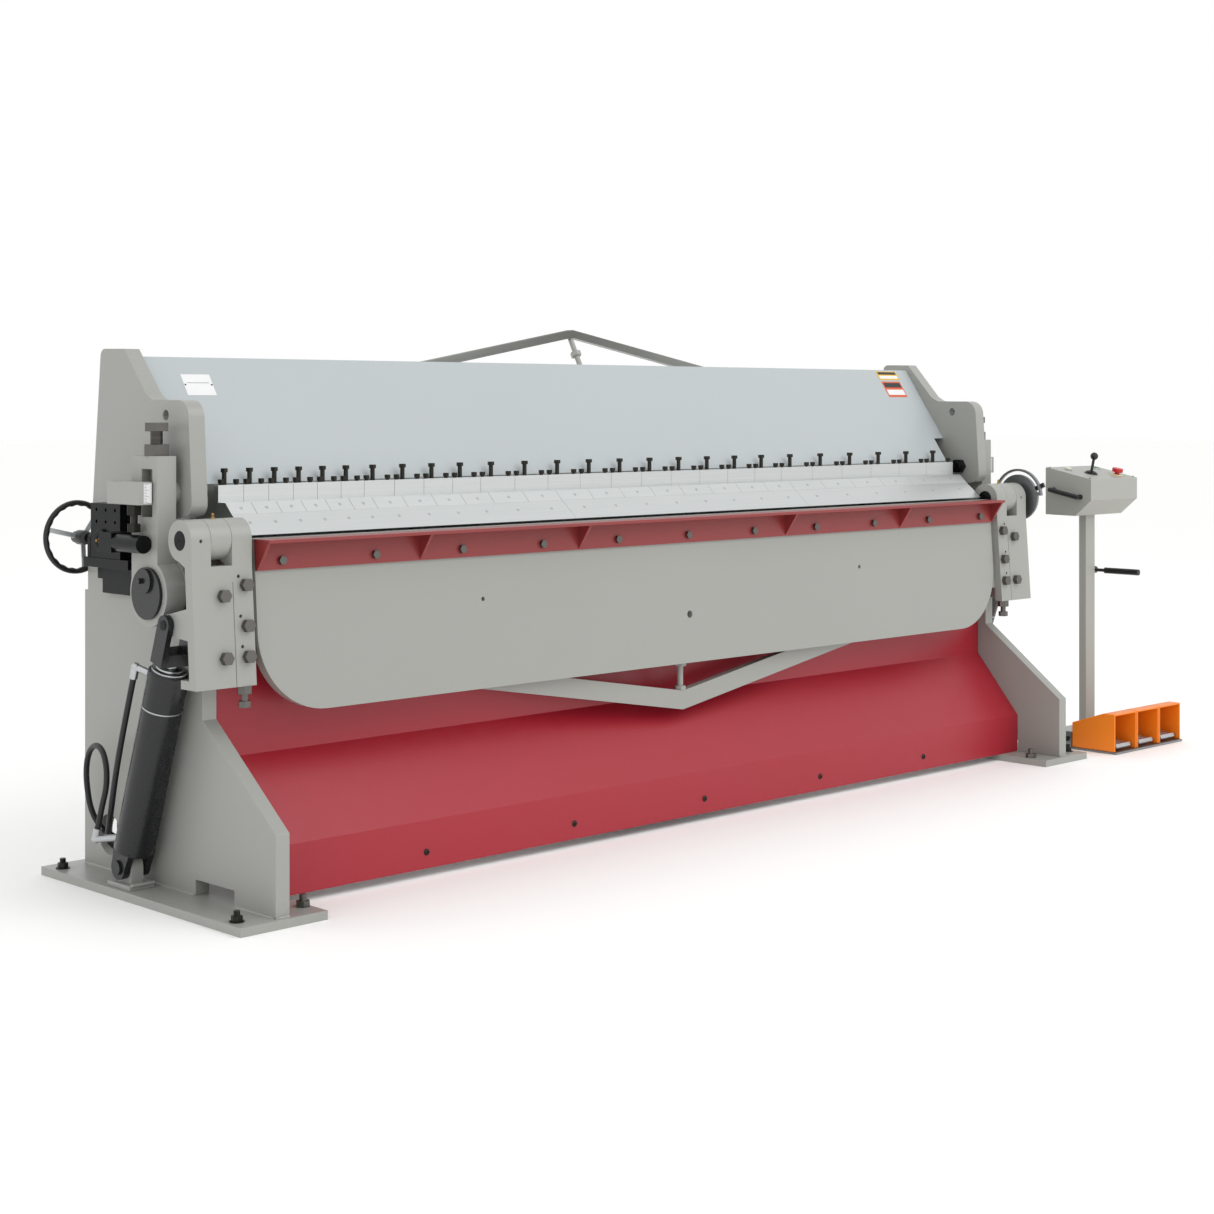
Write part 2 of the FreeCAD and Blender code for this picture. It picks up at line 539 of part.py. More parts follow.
def carriage():
    x0, x1 = carriage_inner, carriage_outer
    rest_x, rest_z, rest_r, rest_front = link_outer + 22.5, 878.0, 22.0, -44.0
    boss_front = 72.0
    block = box(x0, x1, carriage_front, carriage_rear, carriage_low, carriage_high)
    boss = box(x0 + 10, rest_x + 20, boss_front, carriage_front, rest_z - 24, rest_z + 24)
    rest = cyl_y(rest_x, rest_front, boss_front, rest_z, rest_r)
    rows = (carriage_high - 16, carriage_high - 46)
    taps = [cyl_x(x1 - 12, x1 + 1, carriage_front + 24 + 44 * k, z, 4.5) for k in range(3) for z in rows]
    add_sides("pivot_blocks", cut(block, cyl_x(x0 - 1, x1 + 1, pivot_y, pivot_z, pivot_r),
                                  cyl_y(wheel_x, 247, carriage_rear + 1, wheel_z, screw_r + 0.5), *taps),
              boss, rest)
    cover = cyl_x(x1, x1 + 5, pivot_y, pivot_z, 28)
    add_sides("pivot_pins", fuse(cyl_x(plate_inner, x1 + 1, pivot_y, pivot_z, pivot_r), cover))

    # scale block on the beam, with the stop screw that stands over the rest bar
    low, high = 974.0, 1030.0
    arm = box(plate_outer, rest_x + 19, 58, 94, low, high)
    scale = box(link_outer + 3, rest_x + 19, -50, 58, low, high)
    top = rest_z + rest_r
    stop = fuse(cyl_z(rest_x, 0, top + 6, low, 9), hexagon((rest_x, 0, low - 26), (0, 0, 1), 26, 19),
                hexagon((rest_x, 0, top + 7), (0, 0, 1), 20, 18))
    add_sides("scale_blocks", arm, scale, stop)

    ledge = [box(frame_outer, frame_outer + 16, 90, 300, 735, 806),
             box(x0, carriage_outer + 2, 90, 300, 806, carriage_low - 0.5)]
    holder_r, holder_front = 15.0, 318.0
    foot = box(frame_outer, wheel_x - holder_r, 300, 332, 770, 850)
    holder = fuse(box(wheel_x - holder_r, wheel_x + holder_r, holder_front, 332, 812, wheel_z),
                  cyl_y(wheel_x, holder_front, 332, wheel_z, holder_r))
    holder = cut(holder, cyl_y(wheel_x, holder_front - 1, 333, wheel_z, screw_r + running))
    add_sides("setback_brackets", *ledge, foot, holder)


def handwheels():
    screw = fuse(cyl_y(wheel_x, 254, wheel_y + 16, wheel_z, screw_r),
                 cyl_y(wheel_x, wheel_y - 50, wheel_y + 12, wheel_z, 20))
    rim = Part.makeTorus(wheel_r, rim_r, V(wheel_x, wheel_y, wheel_z), V(0, 1, 0))
    spokes = []
    for k in range(3):
        spoke = cyl_z(wheel_x, wheel_y, wheel_z + 10, wheel_z + wheel_r, 6)
        spoke.rotate(V(wheel_x, wheel_y, wheel_z), V(0, 1, 0), 120 * k + 20)
        spokes.append(spoke)
    add_pair("handwheel", fuse(screw, rim, *spokes))


# ---- bending cylinders ----

tilt = math.degrees(math.atan2(foot_y - clevis_y, clevis_z - foot_z))
pin_distance = math.hypot(foot_y - clevis_y, clevis_z - foot_z)


def stand(shape):
    # turns a piece drawn upright over the foot pin onto the cylinder's axis
    shape.rotate(V(0, 0, 0), V(1, 0, 0), tilt)
    shape.translate(V(cylinder_x, foot_y, foot_z))
    return shape


def on_cylinder(along, behind, outboard):
    # point beside the left-hand cylinder, measured from its foot pin
    c, n = math.cos(math.radians(tilt)), math.sin(math.radians(tilt))
    return V(-cylinder_x - outboard, foot_y - n * along + c * behind, foot_z + c * along + n * behind)


def elbow(root, corner, end, r):
    # hose fitting: a nipple out of the port, a ball at the bend and a ferrule
    solids = [Part.makeSphere(r + 1, corner)]
    for a, b, radius in ((root, corner, r - 1), (corner, end, r)):
        solids.append(Part.makeCylinder(radius, (b - a).Length, a, b - a))
    return fuse(*solids)


def cylinders():
    ear_inner, ear_outer = 20.0, 38.0
    solids = [cyl_z(0, 0, barrel_start, barrel_end, barrel_r),
              cyl_z(0, 0, barrel_end, barrel_end + 9, rod_r + 11)]
    for x0, x1 in ((-ear_outer, -ear_inner), (ear_inner, ear_outer)):
        solids.append(cyl_x(x0, x1, 0, 0, 30))
        solids.append(slab_x([(-28, 0), (28, 0), (36, barrel_start + 6), (-36, barrel_start + 6)], x0, x1))
    solids.append(box(-ear_outer, ear_outer, -34, 34, barrel_start - 8, barrel_start + 8))
    barrel = cut(fuse(*solids), cyl_z(0, 0, barrel_start + 14, barrel_end - 34, piston_r),
                 cyl_z(0, 0, barrel_end - 35, barrel_end + 10, rod_r + running))
    pin = fuse(cyl_x(-ear_outer - 3, ear_outer + 1, 0, 0, foot_pin_r),
               cyl_x(ear_outer, ear_outer + 6, 0, 0, 18))
    barrel = cut(barrel, cyl_x(-ear_outer - 1, ear_outer + 1, 0, 0, foot_pin_r))
    pin = cut(pin, barrel)
    add("cylinder_barrel_right", stand(barrel), stand(pin))
    left, left_pin = [mirror(s) for s in nodes["cylinder_barrel_right"].Solids]
    core = mirror(stand(cyl_z(0, 0, barrel_start, barrel_end, barrel_r)))
    fittings = []
    for hose, root in ((upper_hose, on_cylinder(508, 24, 24)), (lower_hose, on_cylinder(66, 30, 24))):
        start = V(*hose[0])
        ahead = (V(*hose[1]) - start).normalize()
        fittings.append(cut(elbow(root, start - ahead * ferrule, start, hose_r + 2.5), left, core))
    add("cylinder_barrel_left", left, left_pin, *fittings)

    inner, outer = knuckle_outer - cylinder_x, arm_outer + 2 - cylinder_x
    x0, x1 = inner - fork_cheek - 1, outer + fork_cheek
    rod = [cyl_z(0, 0, barrel_start + 20, fork_base, rod_r),
           cyl_z(0, 0, barrel_start + 20, barrel_start + 48, piston_r - running),
           box(x0, x1, -fork_depth, fork_depth, fork_base - 1, fork_base + 32),
           cyl_x(x1, x1 + 2, 0, pin_distance, clevis_pin_r)]
    for a, b in ((x0, inner), (outer, x1)):
        rod += [box(a, b, -fork_depth, fork_depth, fork_base, pin_distance),
                cyl_x(a, b, 0, pin_distance, fork_depth)]
    add_pair("cylinder_rod", stand(fuse(*rod)))

    half, eye_r, pad_x, pad_y = ear_inner - 2, 29.0, 36.0, 52.0
    x0, x1 = cylinder_x - half, cylinder_x + half
    lug = fuse(cyl_x(x0, x1, foot_y, foot_z, eye_r),
               box(x0, x1, foot_y - eye_r, foot_y + eye_r, base_thickness, foot_z),
               box(cylinder_x - pad_x, cylinder_x + pad_x, foot_y - pad_y, foot_y + pad_y,
                   base_thickness, base_thickness + 12))
    add_sides("cylinder_feet", cut(lug, cyl_x(x0 - 1, x1 + 1, foot_y, foot_z, foot_pin_r + running)))


# ---- hoses and cable ----

def bent_tube(points, r):
    # straight runs joined by tangent arcs, each as large as its two runs allow
    points = [V(*p) for p in points]
    edges, radii = [], []
    start = points[0]
    for a, b, c in zip(points, points[1:], points[2:]):
        u, w = (b - a), (c - b)
        short = min(u.Length, w.Length)
        u.normalize()
        w.normalize()
        turn = u.getAngle(w)
        back = 0.45 * short
        radius = back / math.tan(turn / 2)
        radii.append(radius)
        p, q = b - u * back, b + w * back
        centre = p + (w - u * u.dot(w)).normalize() * radius
        middle = centre + (b - centre).normalize() * radius
        edges += [Part.makeLine(start, p), Part.Arc(p, middle, q).toShape()]
        start = q
    edges.append(Part.makeLine(start, points[-1]))
    path = Part.Wire(edges)
    ring = Part.Wire(Part.Circle(points[0], points[1] - points[0], r).toShape())
    tube = path.makePipeShell([ring], True, False)
    print("tube", round(path.Length), "mm long, radii", [round(x) for x in radii],
          "volume share", round(tube.Volume / (path.Length * math.pi * r * r), 3))
    return tube


upper_hose = [(-1742, -4, 552), (-1741, 43, 424), (-1733, 94, 300), (-1716, 140, 214), (-1694, 190, 156),
              (-1670, 236, 117), (-1642, 262, 92), (-1606, 286, 72)]
lower_hose = [(-1732, 178, 160), (-1731, 162, 212), (-1727, 146, 262), (-1720, 155, 306), (-1710, 185, 341),
              (-1700, 228, 357), (-1691, 273, 349), (-1684, 308, 320), (-1679, 325, 276), (-1674, 327, 228),
              (-1667, 322, 178), (-1650, 314, 138), (-1626, 305, 112), (-1598, 298, 96)]
pedal_cable = [(1868, -285, 36), (1846, -284, 33), (1826, -278, 20), (1804, -268, 8), (1778, -260, 7),
               (1752, -258, 22), (1728, -262, 29), (1704, -272, 28), (1682, -284, 34), (1664, -292, 43), (1650, -294, 46)]


def hoses():
    add("hose_upper", bent_tube(upper_hose, hose_r))
    add("hose_lower", bent_tube(lower_hose, hose_r))
    add("pedal_cable", bent_tube(pedal_cable, cable_r))


# ---- angle dial ----

def angle_dial():
    x = arm_outer + 23
    disc = fuse(cyl_x(arm_outer, x + 1, hinge_y, hinge_z, hinge_pin_r + 4),
                cyl_x(x, x + 8, hinge_y, hinge_z, 84))
    ring = cut(cyl_x(x, x + 12, hinge_y, hinge_z, 98), cyl_x(x - 1, x + 13, hinge_y, hinge_z, 66),
               box(x - 1, x + 13, hinge_y - 120, hinge_y + 120, hinge_z - 120, hinge_z + 6))
    slot = cut(cyl_x(x - 1, x + 13, hinge_y, hinge_z, 90), cyl_x(x - 2, x + 14, hinge_y, hinge_z, 78),
               box(x - 2, x + 14, hinge_y - 120, hinge_y + 120, hinge_z - 120, hinge_z + 18))
    add("angle_dial", cut(fuse(disc, ring), slot))
    dog = fuse(box(x + 12.5, x + 22, hinge_y - 8, hinge_y + 8, hinge_z + 72, hinge_z + 108),
               cyl_x(x + 21, x + 34, hinge_y, hinge_z + 84, 7))
    dog.rotate(V(0, hinge_y, hinge_z), V(1, 0, 0), 66)
    add("angle_dog", dog)


# ---- console and pedals ----

def panel(x, y, height):
    # point over the sloping panel and its outward normal
    (y0, z0), (y1, z1) = console_front, console_rear
    length = math.hypot(y1 - y0, z1 - z0)
    normal = V(0, -(z1 - z0) / length, (y1 - y0) / length)
    z = z0 + (z1 - z0) * (y - y0) / (y1 - y0)
    return V(x, y, z) + normal * height, normal


def on_panel(x, y, low, high, r):
    at, normal = panel(x, y, low)
    return Part.makeCylinder(r, high - low, at, normal)


def console():
    tube = cut(box(post_x0, post_x1, post_y0, post_y1, 12, 812),
               box(post_x0 + 3, post_x1 - 3, post_y0 + 3, post_y1 - 3, 15, 809))
    y, z = (post_y0 + post_y1) / 2, 605.0
    stub = fuse(cyl_x(post_x1, post_x1 + 27, y, z, 5), cyl_x(post_x1 + 26.5, post_x1 + 31, y, z, 9))
    add("console_post", tube, box(console_x0 + 13, console_x0 + 263, -260, -30, 0, 12), stub)
    outline = [(-64, 814), (-190, 812), (-258, 870), console_front, console_rear]
    case = round_corners(slab_x(outline, console_x0, console_x1), [(*console_front, 5), (*console_rear, 5)])
    button, stop, stick = (console_x1 - 50, -115), (console_x1 - 70, -215), (console_x0 + 118, -182)
    wells = [on_panel(*button, -14, 20, 11.3), on_panel(*stop, -22, 20, 9.3), on_panel(*stick, -22, 20, 9.3)]
    add("console_box", cut(case, *wells))
    add("start_button", on_panel(*button, -7, 6, 11))
    add("emergency_stop", fuse(on_panel(*stop, -14, 14, 9), on_panel(*stop, 12, 26, 20)))
    at, normal = panel(*stick, 0)
    add("joystick", fuse(on_panel(*stick, -3, 62, 5), Part.makeSphere(8.5, at - normal * 3),
                         Part.makeSphere(14, at + normal * 66)))
    lever = fuse(cyl_x(post_x1 + 0.5, post_x1 + 26, y, z, 13), cyl_y(post_x1 + 14, y - 52, y, z, 6),
                 cyl_y(post_x1 + 14, y - 190, y - 50, z, 11))
    add("post_lever", cut(lever, cyl_x(post_x1 - 1, post_x1 + 27, y, z, 5.05)))


def pedals():
    end = pedal_x + pedal_pitch * pedal_count
    foot, wall = 8.0, 6.0
    add("pedal_base", box(pedal_x, end, pedal_front, pedal_back, 0, foot),
        box(pedal_x, pedal_x + 34, pedal_back - 30, pedal_back - 2, foot, 62))
    hoods = []
    for k in range(pedal_count):
        x0 = pedal_x + pedal_pitch * k + 2
        x1 = x0 + pedal_pitch - 4
        back = -302.0
        shell = slab_x([(-475, foot), (back, foot), (back, 95), (-430, 139), (-475, 139)], x0, x1)
        hollow = slab_x([(-476, foot - 1), (back - wall, foot - 1), (back - wall, 90), (-431, 133), (-476, 133)],
                        x0 + wall, x1 - wall)
        hoods.append(cut(shell, hollow))
        px = (x0 + x1) / 2
        plate = slab_x([(-462, 18), (-320, 46), (-320, 52), (-462, 26)], px - 44, px + 44)
        hub = cyl_x(px - 44, px + 44, -458, 22, 8)
        pin_r = 4.0
        add("pedal_" + ("left", "middle", "right")[k],
            cut(fuse(plate, hub), cyl_x(px - 45, px + 45, -458, 22, pin_r + running)))
        hoods.append(cyl_x(x0 + wall, x1 - wall, -458, 22, pin_r))
    add("pedal_hoods", *hoods)


base_plates()
side_frames()
bearings()
bed()
front_cover()
leaf_stops()
hydraulic_unit()
leaf()
hinge_arms()
leaf_bolts()
beam_body()
fingers()
link_pins()
links()
eccentric_shaft()
carriage()
handwheels()
cylinders()
hoses()
angle_dial()
console()
pedals()

os.makedirs("parts", exist_ok=True)
for name, shape in nodes.items():
    shape.exportStep("parts/%s.step" % name)
print(len(nodes), "nodes")
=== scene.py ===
import bpy
import bmesh
import json
from math import radians, pi, cos, atan2, hypot
from mathutils import Vector, Matrix


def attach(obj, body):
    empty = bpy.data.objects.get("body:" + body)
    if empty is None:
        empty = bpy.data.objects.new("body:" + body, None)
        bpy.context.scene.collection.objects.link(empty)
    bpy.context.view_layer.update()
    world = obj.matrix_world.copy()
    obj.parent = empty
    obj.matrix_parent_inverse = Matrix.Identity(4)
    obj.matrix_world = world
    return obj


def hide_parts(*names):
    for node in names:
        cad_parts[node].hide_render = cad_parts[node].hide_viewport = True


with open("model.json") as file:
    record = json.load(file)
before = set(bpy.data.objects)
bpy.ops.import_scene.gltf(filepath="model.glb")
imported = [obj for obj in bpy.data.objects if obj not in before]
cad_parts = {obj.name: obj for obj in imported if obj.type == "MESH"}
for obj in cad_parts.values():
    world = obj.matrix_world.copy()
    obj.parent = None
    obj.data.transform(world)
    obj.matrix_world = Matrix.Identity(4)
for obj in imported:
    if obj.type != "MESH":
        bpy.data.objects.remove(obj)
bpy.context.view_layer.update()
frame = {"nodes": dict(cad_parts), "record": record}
scene = bpy.context.scene
mm = 0.001

# camera at the height of a standing person's chest, in front of the left-hand end; turn in radians
cameraView = dict(place=(-4.478, -4.456, 1.217), turn=0.7732, lens=62.17, shiftY=-0.1667)


def makeCamera():
    lens = bpy.data.cameras.new("shopCamera")
    lens.lens, lens.sensor_width, lens.shift_y = cameraView["lens"], 36, cameraView["shiftY"]
    lens.clip_end = 200
    camera = bpy.data.objects.new("shopCamera", lens)
    camera.location = cameraView["place"]
    camera.rotation_euler = (pi / 2, 0, -cameraView["turn"])
    scene.collection.objects.link(camera)
    scene.camera = camera


makeCamera()
print("camera ready")


def linear(hexText):
    # sRGB hex to the linear colour that the shader wants
    parts = [int(hexText[k:k + 2], 16) / 255 for k in (1, 3, 5)]
    return (*[p / 12.92 if p <= 0.04045 else ((p + 0.055) / 1.055) ** 2.4 for p in parts], 1)


def addNode(tree, kind, settings=None, links=None):
    # settings name a socket, or a property of the node; links name the socket that each input reads
    node = tree.nodes.new(kind)
    for key, value in (settings or {}).items():
        if isinstance(key, str) and hasattr(node, key):
            setattr(node, key, value)
        else:
            node.inputs[key].default_value = value
    for key, output in (links or {}).items():
        tree.links.new(output, node.inputs[key])
    return node


def startMaterial(name, **shaderValues):
    # an empty shader tree, with object coordinates so that a finish keeps its real scale on every piece
    material = bpy.data.materials.new(name)
    material.use_nodes = True
    tree = material.node_tree
    tree.nodes.clear()
    shader = addNode(tree, "ShaderNodeBsdfPrincipled", shaderValues)
    addNode(tree, "ShaderNodeOutputMaterial", {}, {"Surface": shader.outputs[0]})
    place = addNode(tree, "ShaderNodeTexCoord").outputs["Object"]
    return material, tree, shader, place


def mapRange(tree, value, low, high):
    node = addNode(tree, "ShaderNodeMapRange", {"To Min": low, "To Max": high}, {"Value": value})
    return node.outputs["Result"]


# sprayed two-pack enamel on welded plate: slightly wavy gloss, faint orange peel, shade drifts over a metre
def enamel(name, base, dark, rough=0.34, peel=0.05):
    material, tree, shader, place = startMaterial(name, IOR=1.5)
    # 600 mm clouds of shade
    drift = addNode(tree, "ShaderNodeTexNoise", {"Scale": 1.6, "Detail": 4.0}, {"Vector": place})
    cloud = mapRange(tree, drift.outputs["Fac"], 0.25, 0.75)
    mix = addNode(tree, "ShaderNodeMix", {"data_type": "RGBA"}, {"Factor": cloud})
    mix.inputs["A"].default_value = linear(base)
    mix.inputs["B"].default_value = linear(dark)
    tree.links.new(mix.outputs["Result"], shader.inputs["Base Color"])
    # 35 mm wipe marks in the gloss
    grime = addNode(tree, "ShaderNodeTexNoise", {"Scale": 28.0, "Detail": 6.0}, {"Vector": place})
    gloss = mapRange(tree, grime.outputs["Fac"], rough - 0.06, rough + 0.08)
    tree.links.new(gloss, shader.inputs["Roughness"])
    # 8 mm orange peel
    wave = addNode(tree, "ShaderNodeTexNoise", {"Scale": 130.0, "Detail": 2.0}, {"Vector": place})
    bump = addNode(tree, "ShaderNodeBump", {"Strength": peel, "Distance": 0.002},
                   {"Height": wave.outputs["Fac"]})
    tree.links.new(bump.outputs["Normal"], shader.inputs["Normal"])
    return material


# bare steel with a machining lay along one axis: bright, with fine parallel streaks
def streakedSteel(name, base, dark, rough, along=(0.6, 60.0, 60.0)):
    material, tree, shader, place = startMaterial(name, Metallic=1.0)
    stretch = addNode(tree, "ShaderNodeMapping", {"Scale": along}, {"Vector": place})
    lay = addNode(tree, "ShaderNodeTexNoise", {"Scale": 9.0, "Detail": 5.0},
                  {"Vector": stretch.outputs["Vector"]})
    # 140 mm handling marks
    cloud = addNode(tree, "ShaderNodeTexNoise", {"Scale": 7.0, "Detail": 3.0}, {"Vector": place})
    blend = mapRange(tree, lay.outputs["Fac"], 0.1, 0.9)
    mix = addNode(tree, "ShaderNodeMix", {"data_type": "RGBA"}, {"Factor": blend})
    mix.inputs["A"].default_value = linear(base)
    mix.inputs["B"].default_value = linear(dark)
    tree.links.new(mix.outputs["Result"], shader.inputs["Base Color"])
    gloss = mapRange(tree, cloud.outputs["Fac"], rough - 0.08, rough + 0.1)
    tree.links.new(gloss, shader.inputs["Roughness"])
    bump = addNode(tree, "ShaderNodeBump", {"Strength": 0.12, "Distance": 0.0006},
                   {"Height": lay.outputs["Fac"]})
    tree.links.new(bump.outputs["Normal"], shader.inputs["Normal"])
    return material


# moulded plastic, rubber and oxide-blackened steel: one colour with a fine matt grain
def grained(name, base, rough, metallic=0.0, grain=400.0, depth=0.08, ior=1.5, spread=0.06):
    material, tree, shader, place = startMaterial(name, Metallic=metallic, IOR=ior)
    tone = addNode(tree, "ShaderNodeTexNoise", {"Scale": 22.0, "Detail": 5.0}, {"Vector": place})
    darker = tuple(c * 0.82 for c in linear(base)[:3]) + (1,)
    blend = mapRange(tree, tone.outputs["Fac"], 0.2, 0.8)
    mix = addNode(tree, "ShaderNodeMix", {"data_type": "RGBA"}, {"Factor": blend})
    mix.inputs["A"].default_value = linear(base)
    mix.inputs["B"].default_value = darker
    tree.links.new(mix.outputs["Result"], shader.inputs["Base Color"])
    gloss = mapRange(tree, tone.outputs["Fac"], rough - spread, rough + spread)
    tree.links.new(gloss, shader.inputs["Roughness"])
    fine = addNode(tree, "ShaderNodeTexNoise", {"Scale": grain, "Detail": 2.0}, {"Vector": place})
    bump = addNode(tree, "ShaderNodeBump", {"Strength": depth, "Distance": 0.001},
                   {"Height": fine.outputs["Fac"]})
    tree.links.new(bump.outputs["Normal"], shader.inputs["Normal"])
    return material


finishes = {
    "greyEnamel": enamel("greyEnamel", "#9c9d98", "#949590"),  # machine grey, sprayed, the frame and leaf
    # the machine grey painted lighter and bluer on the tilted plate, as painted highlight and painted sky
    # reflection where it faces the light
    "beamGreyPaintedLight": enamel("beamGreyPaintedLight", "#afb6b8", "#a8aeb0"),
    "coverRed": enamel("coverRed", "#a51d2b", "#97182a", 0.36),  # signal red, sprayed sheet
    # red paint brushed over the angle bar, darker and greyer than the cover's red as painted shade under the
    # top flange and painted reflection
    "angleRedPaintedShade": enamel("angleRedPaintedShade", "#8e3433", "#7f2d2d", 0.32, 0.08),
    "unitEnamel": enamel("unitEnamel", "#4b5054", "#43484c", 0.4),  # slate grey power unit
    "consoleGrey": enamel("consoleGrey", "#a3a49d", "#9b9c96", 0.45, 0.15),  # warm grey, matt powder coat
    "hoodOrange": enamel("hoodOrange", "#ff8d1c", "#ea7a0c", 0.42, 0.12),  # safety orange, sprayed hoods
    # surface-ground tool steel, streaks along X
    "groundSteel": streakedSteel("groundSteel", "#d6d9d8", "#bfc3c3", 0.34),
    # hard chrome, ground and polished
    "chromeRod": streakedSteel("chromeRod", "#e3e5e6", "#d5d7d9", 0.14, (30.0, 30.0, 2.0)),
    # bright zinc plate
    "zincSteel": streakedSteel("zincSteel", "#c8cacb", "#a8abad", 0.3, (20.0, 20.0, 20.0)),
    "boltSteel": grained("boltSteel", "#6d6b67", 0.4, 0.9, 300.0, 0.1),  # bare rolled bolt steel
    # phosphated bolt, nearly black-brown
    "darkBolt": grained("darkBolt", "#35342f", 0.42, 0.85, 300.0, 0.1),
    "oxideSteel": grained("oxideSteel", "#1d1e20", 0.38, 0.8, 260.0, 0.12),  # black oxide on milled steel
    "blackEnamel": enamel("blackEnamel", "#191a1d", "#141518", 0.26, 0.06),  # glossy black cylinder paint
    # turned bearing bronze and brass
    "bronze": streakedSteel("bronze", "#b08d57", "#94723f", 0.35, (10.0, 10.0, 10.0)),
    # extruded aluminium treads
    "ribbedAluminium": streakedSteel("ribbedAluminium", "#c9cbcc", "#b2b5b7", 0.38, (8.0, 1.0, 8.0)),
    # satin grey plate
    "dialPlate": streakedSteel("dialPlate", "#9a9d9f", "#85888a", 0.36, (12.0, 12.0, 12.0)),
    "blackPlastic": grained("blackPlastic", "#141416", 0.36, 0.0, 700.0, 0.06),  # moulded black nylon
    "greenPlastic": grained("greenPlastic", "#1f8a3c", 0.3, 0.0, 500.0, 0.03),  # moulded green button
    "redPlastic": grained("redPlastic", "#c4161c", 0.28, 0.0, 500.0, 0.03),  # moulded red mushroom button
    "creamPlastic": grained("creamPlastic", "#d9cf9f", 0.4, 0.0, 500.0, 0.03),  # moulded ivory ring
    "yellowMark": grained("yellowMark", "#e6b81c", 0.4, 0.0, 500.0, 0.03),  # yellow vinyl
    "orangeLabel": grained("orangeLabel", "#d9572a", 0.4, 0.0, 500.0, 0.02),  # orange vinyl
    "whiteLabel": grained("whiteLabel", "#e9eaea", 0.38, 0.0, 500.0, 0.02),  # white vinyl
    # wrapped hydraulic rubber, matt
    "hoseRubber": grained("hoseRubber", "#17181a", 0.48, 0.0, 900.0, 0.25),
    "lensGlass": grained("lensGlass", "#e8e2cf", 0.12, 0.0, 200.0, 0.01),  # frosted lamp lens
}
print("materials ready")


def finishPiece(name, bm, body, materials, smoothAngle=38):
    mesh = bpy.data.meshes.new(name)
    bm.to_mesh(mesh)
    bm.free()
    piece = bpy.data.objects.new(name, mesh)
    scene.collection.objects.link(piece)
    for key in materials:
        mesh.materials.append(finishes[key])
    mesh.shade_smooth()
    mesh.set_sharp_from_angle(angle=radians(smoothAngle))
    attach(piece, body)
    weighted = piece.modifiers.new("flatFaces", "WEIGHTED_NORMAL")
    weighted.keep_sharp, weighted.weight = True, 80
    return piece


# the route of each hose and cable, in metres, from where it leaves its fitting
cordRoutes = {
    "upperHose": dict(replaces="hose_upper", body="barrel_left", diameter=0.015,
                      length=0.606, stiffness="stiff", slot="hose_rubber", lay="hanging", route=[
        (-1.742, -0.004, 0.552), (-1.741, 0.043, 0.424), (-1.733, 0.094, 0.300), (-1.716, 0.140, 0.214),
        (-1.694, 0.190, 0.156), (-1.670, 0.236, 0.117), (-1.642, 0.262, 0.092), (-1.606, 0.286, 0.072)]),
    "lowerHose": dict(replaces="hose_lower", body="barrel_left", diameter=0.015,
                      length=0.593, stiffness="stiff", slot="hose_rubber", lay="hanging", route=[
        (-1.732, 0.178, 0.160), (-1.731, 0.162, 0.212), (-1.727, 0.146, 0.262), (-1.720, 0.155, 0.306),
        (-1.710, 0.185, 0.341), (-1.700, 0.228, 0.357), (-1.691, 0.273, 0.349), (-1.684, 0.308, 0.320),
        (-1.679, 0.325, 0.276), (-1.674, 0.327, 0.228), (-1.667, 0.322, 0.178), (-1.650, 0.314, 0.138),
        (-1.626, 0.305, 0.112), (-1.598, 0.298, 0.096)]),
    "pedalCable": dict(replaces="pedal_cable", body="machine", diameter=0.009, length=0.242, stiffness="limp",
                       slot="hose_rubber", lay="loose", route=[
        (1.868, -0.285, 0.036), (1.846, -0.284, 0.033), (1.826, -0.278, 0.020), (1.804, -0.268, 0.008),
        (1.778, -0.260, 0.007), (1.752, -0.258, 0.022), (1.728, -0.262, 0.029), (1.704, -0.272, 0.028),
        (1.682, -0.284, 0.034), (1.664, -0.292, 0.043), (1.650, -0.294, 0.046)]),
}


def makeCords():
    for name, facts in cordRoutes.items():
        curve = bpy.data.curves.new(name, "CURVE")
        curve.dimensions = "3D"
        spline = curve.splines.new("NURBS")
        spline.points.add(len(facts["route"]) - 1)
        for point, place in zip(spline.points, facts["route"]):
            point.co = (*place, 1)
        spline.order_u = 3
        spline.use_endpoint_u = True
        spline.resolution_u = 8
        curve.bevel_depth = facts["diameter"] / 2
        curve.bevel_resolution = 4
        curve.use_fill_caps = True
        cordPiece = bpy.data.objects.new(name, curve)
        scene.collection.objects.link(cordPiece)
        curve.materials.append(finishes["hoseRubber"])
        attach(cordPiece, facts["body"])
        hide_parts(facts["replaces"])


makeCords()
print("cords ready")


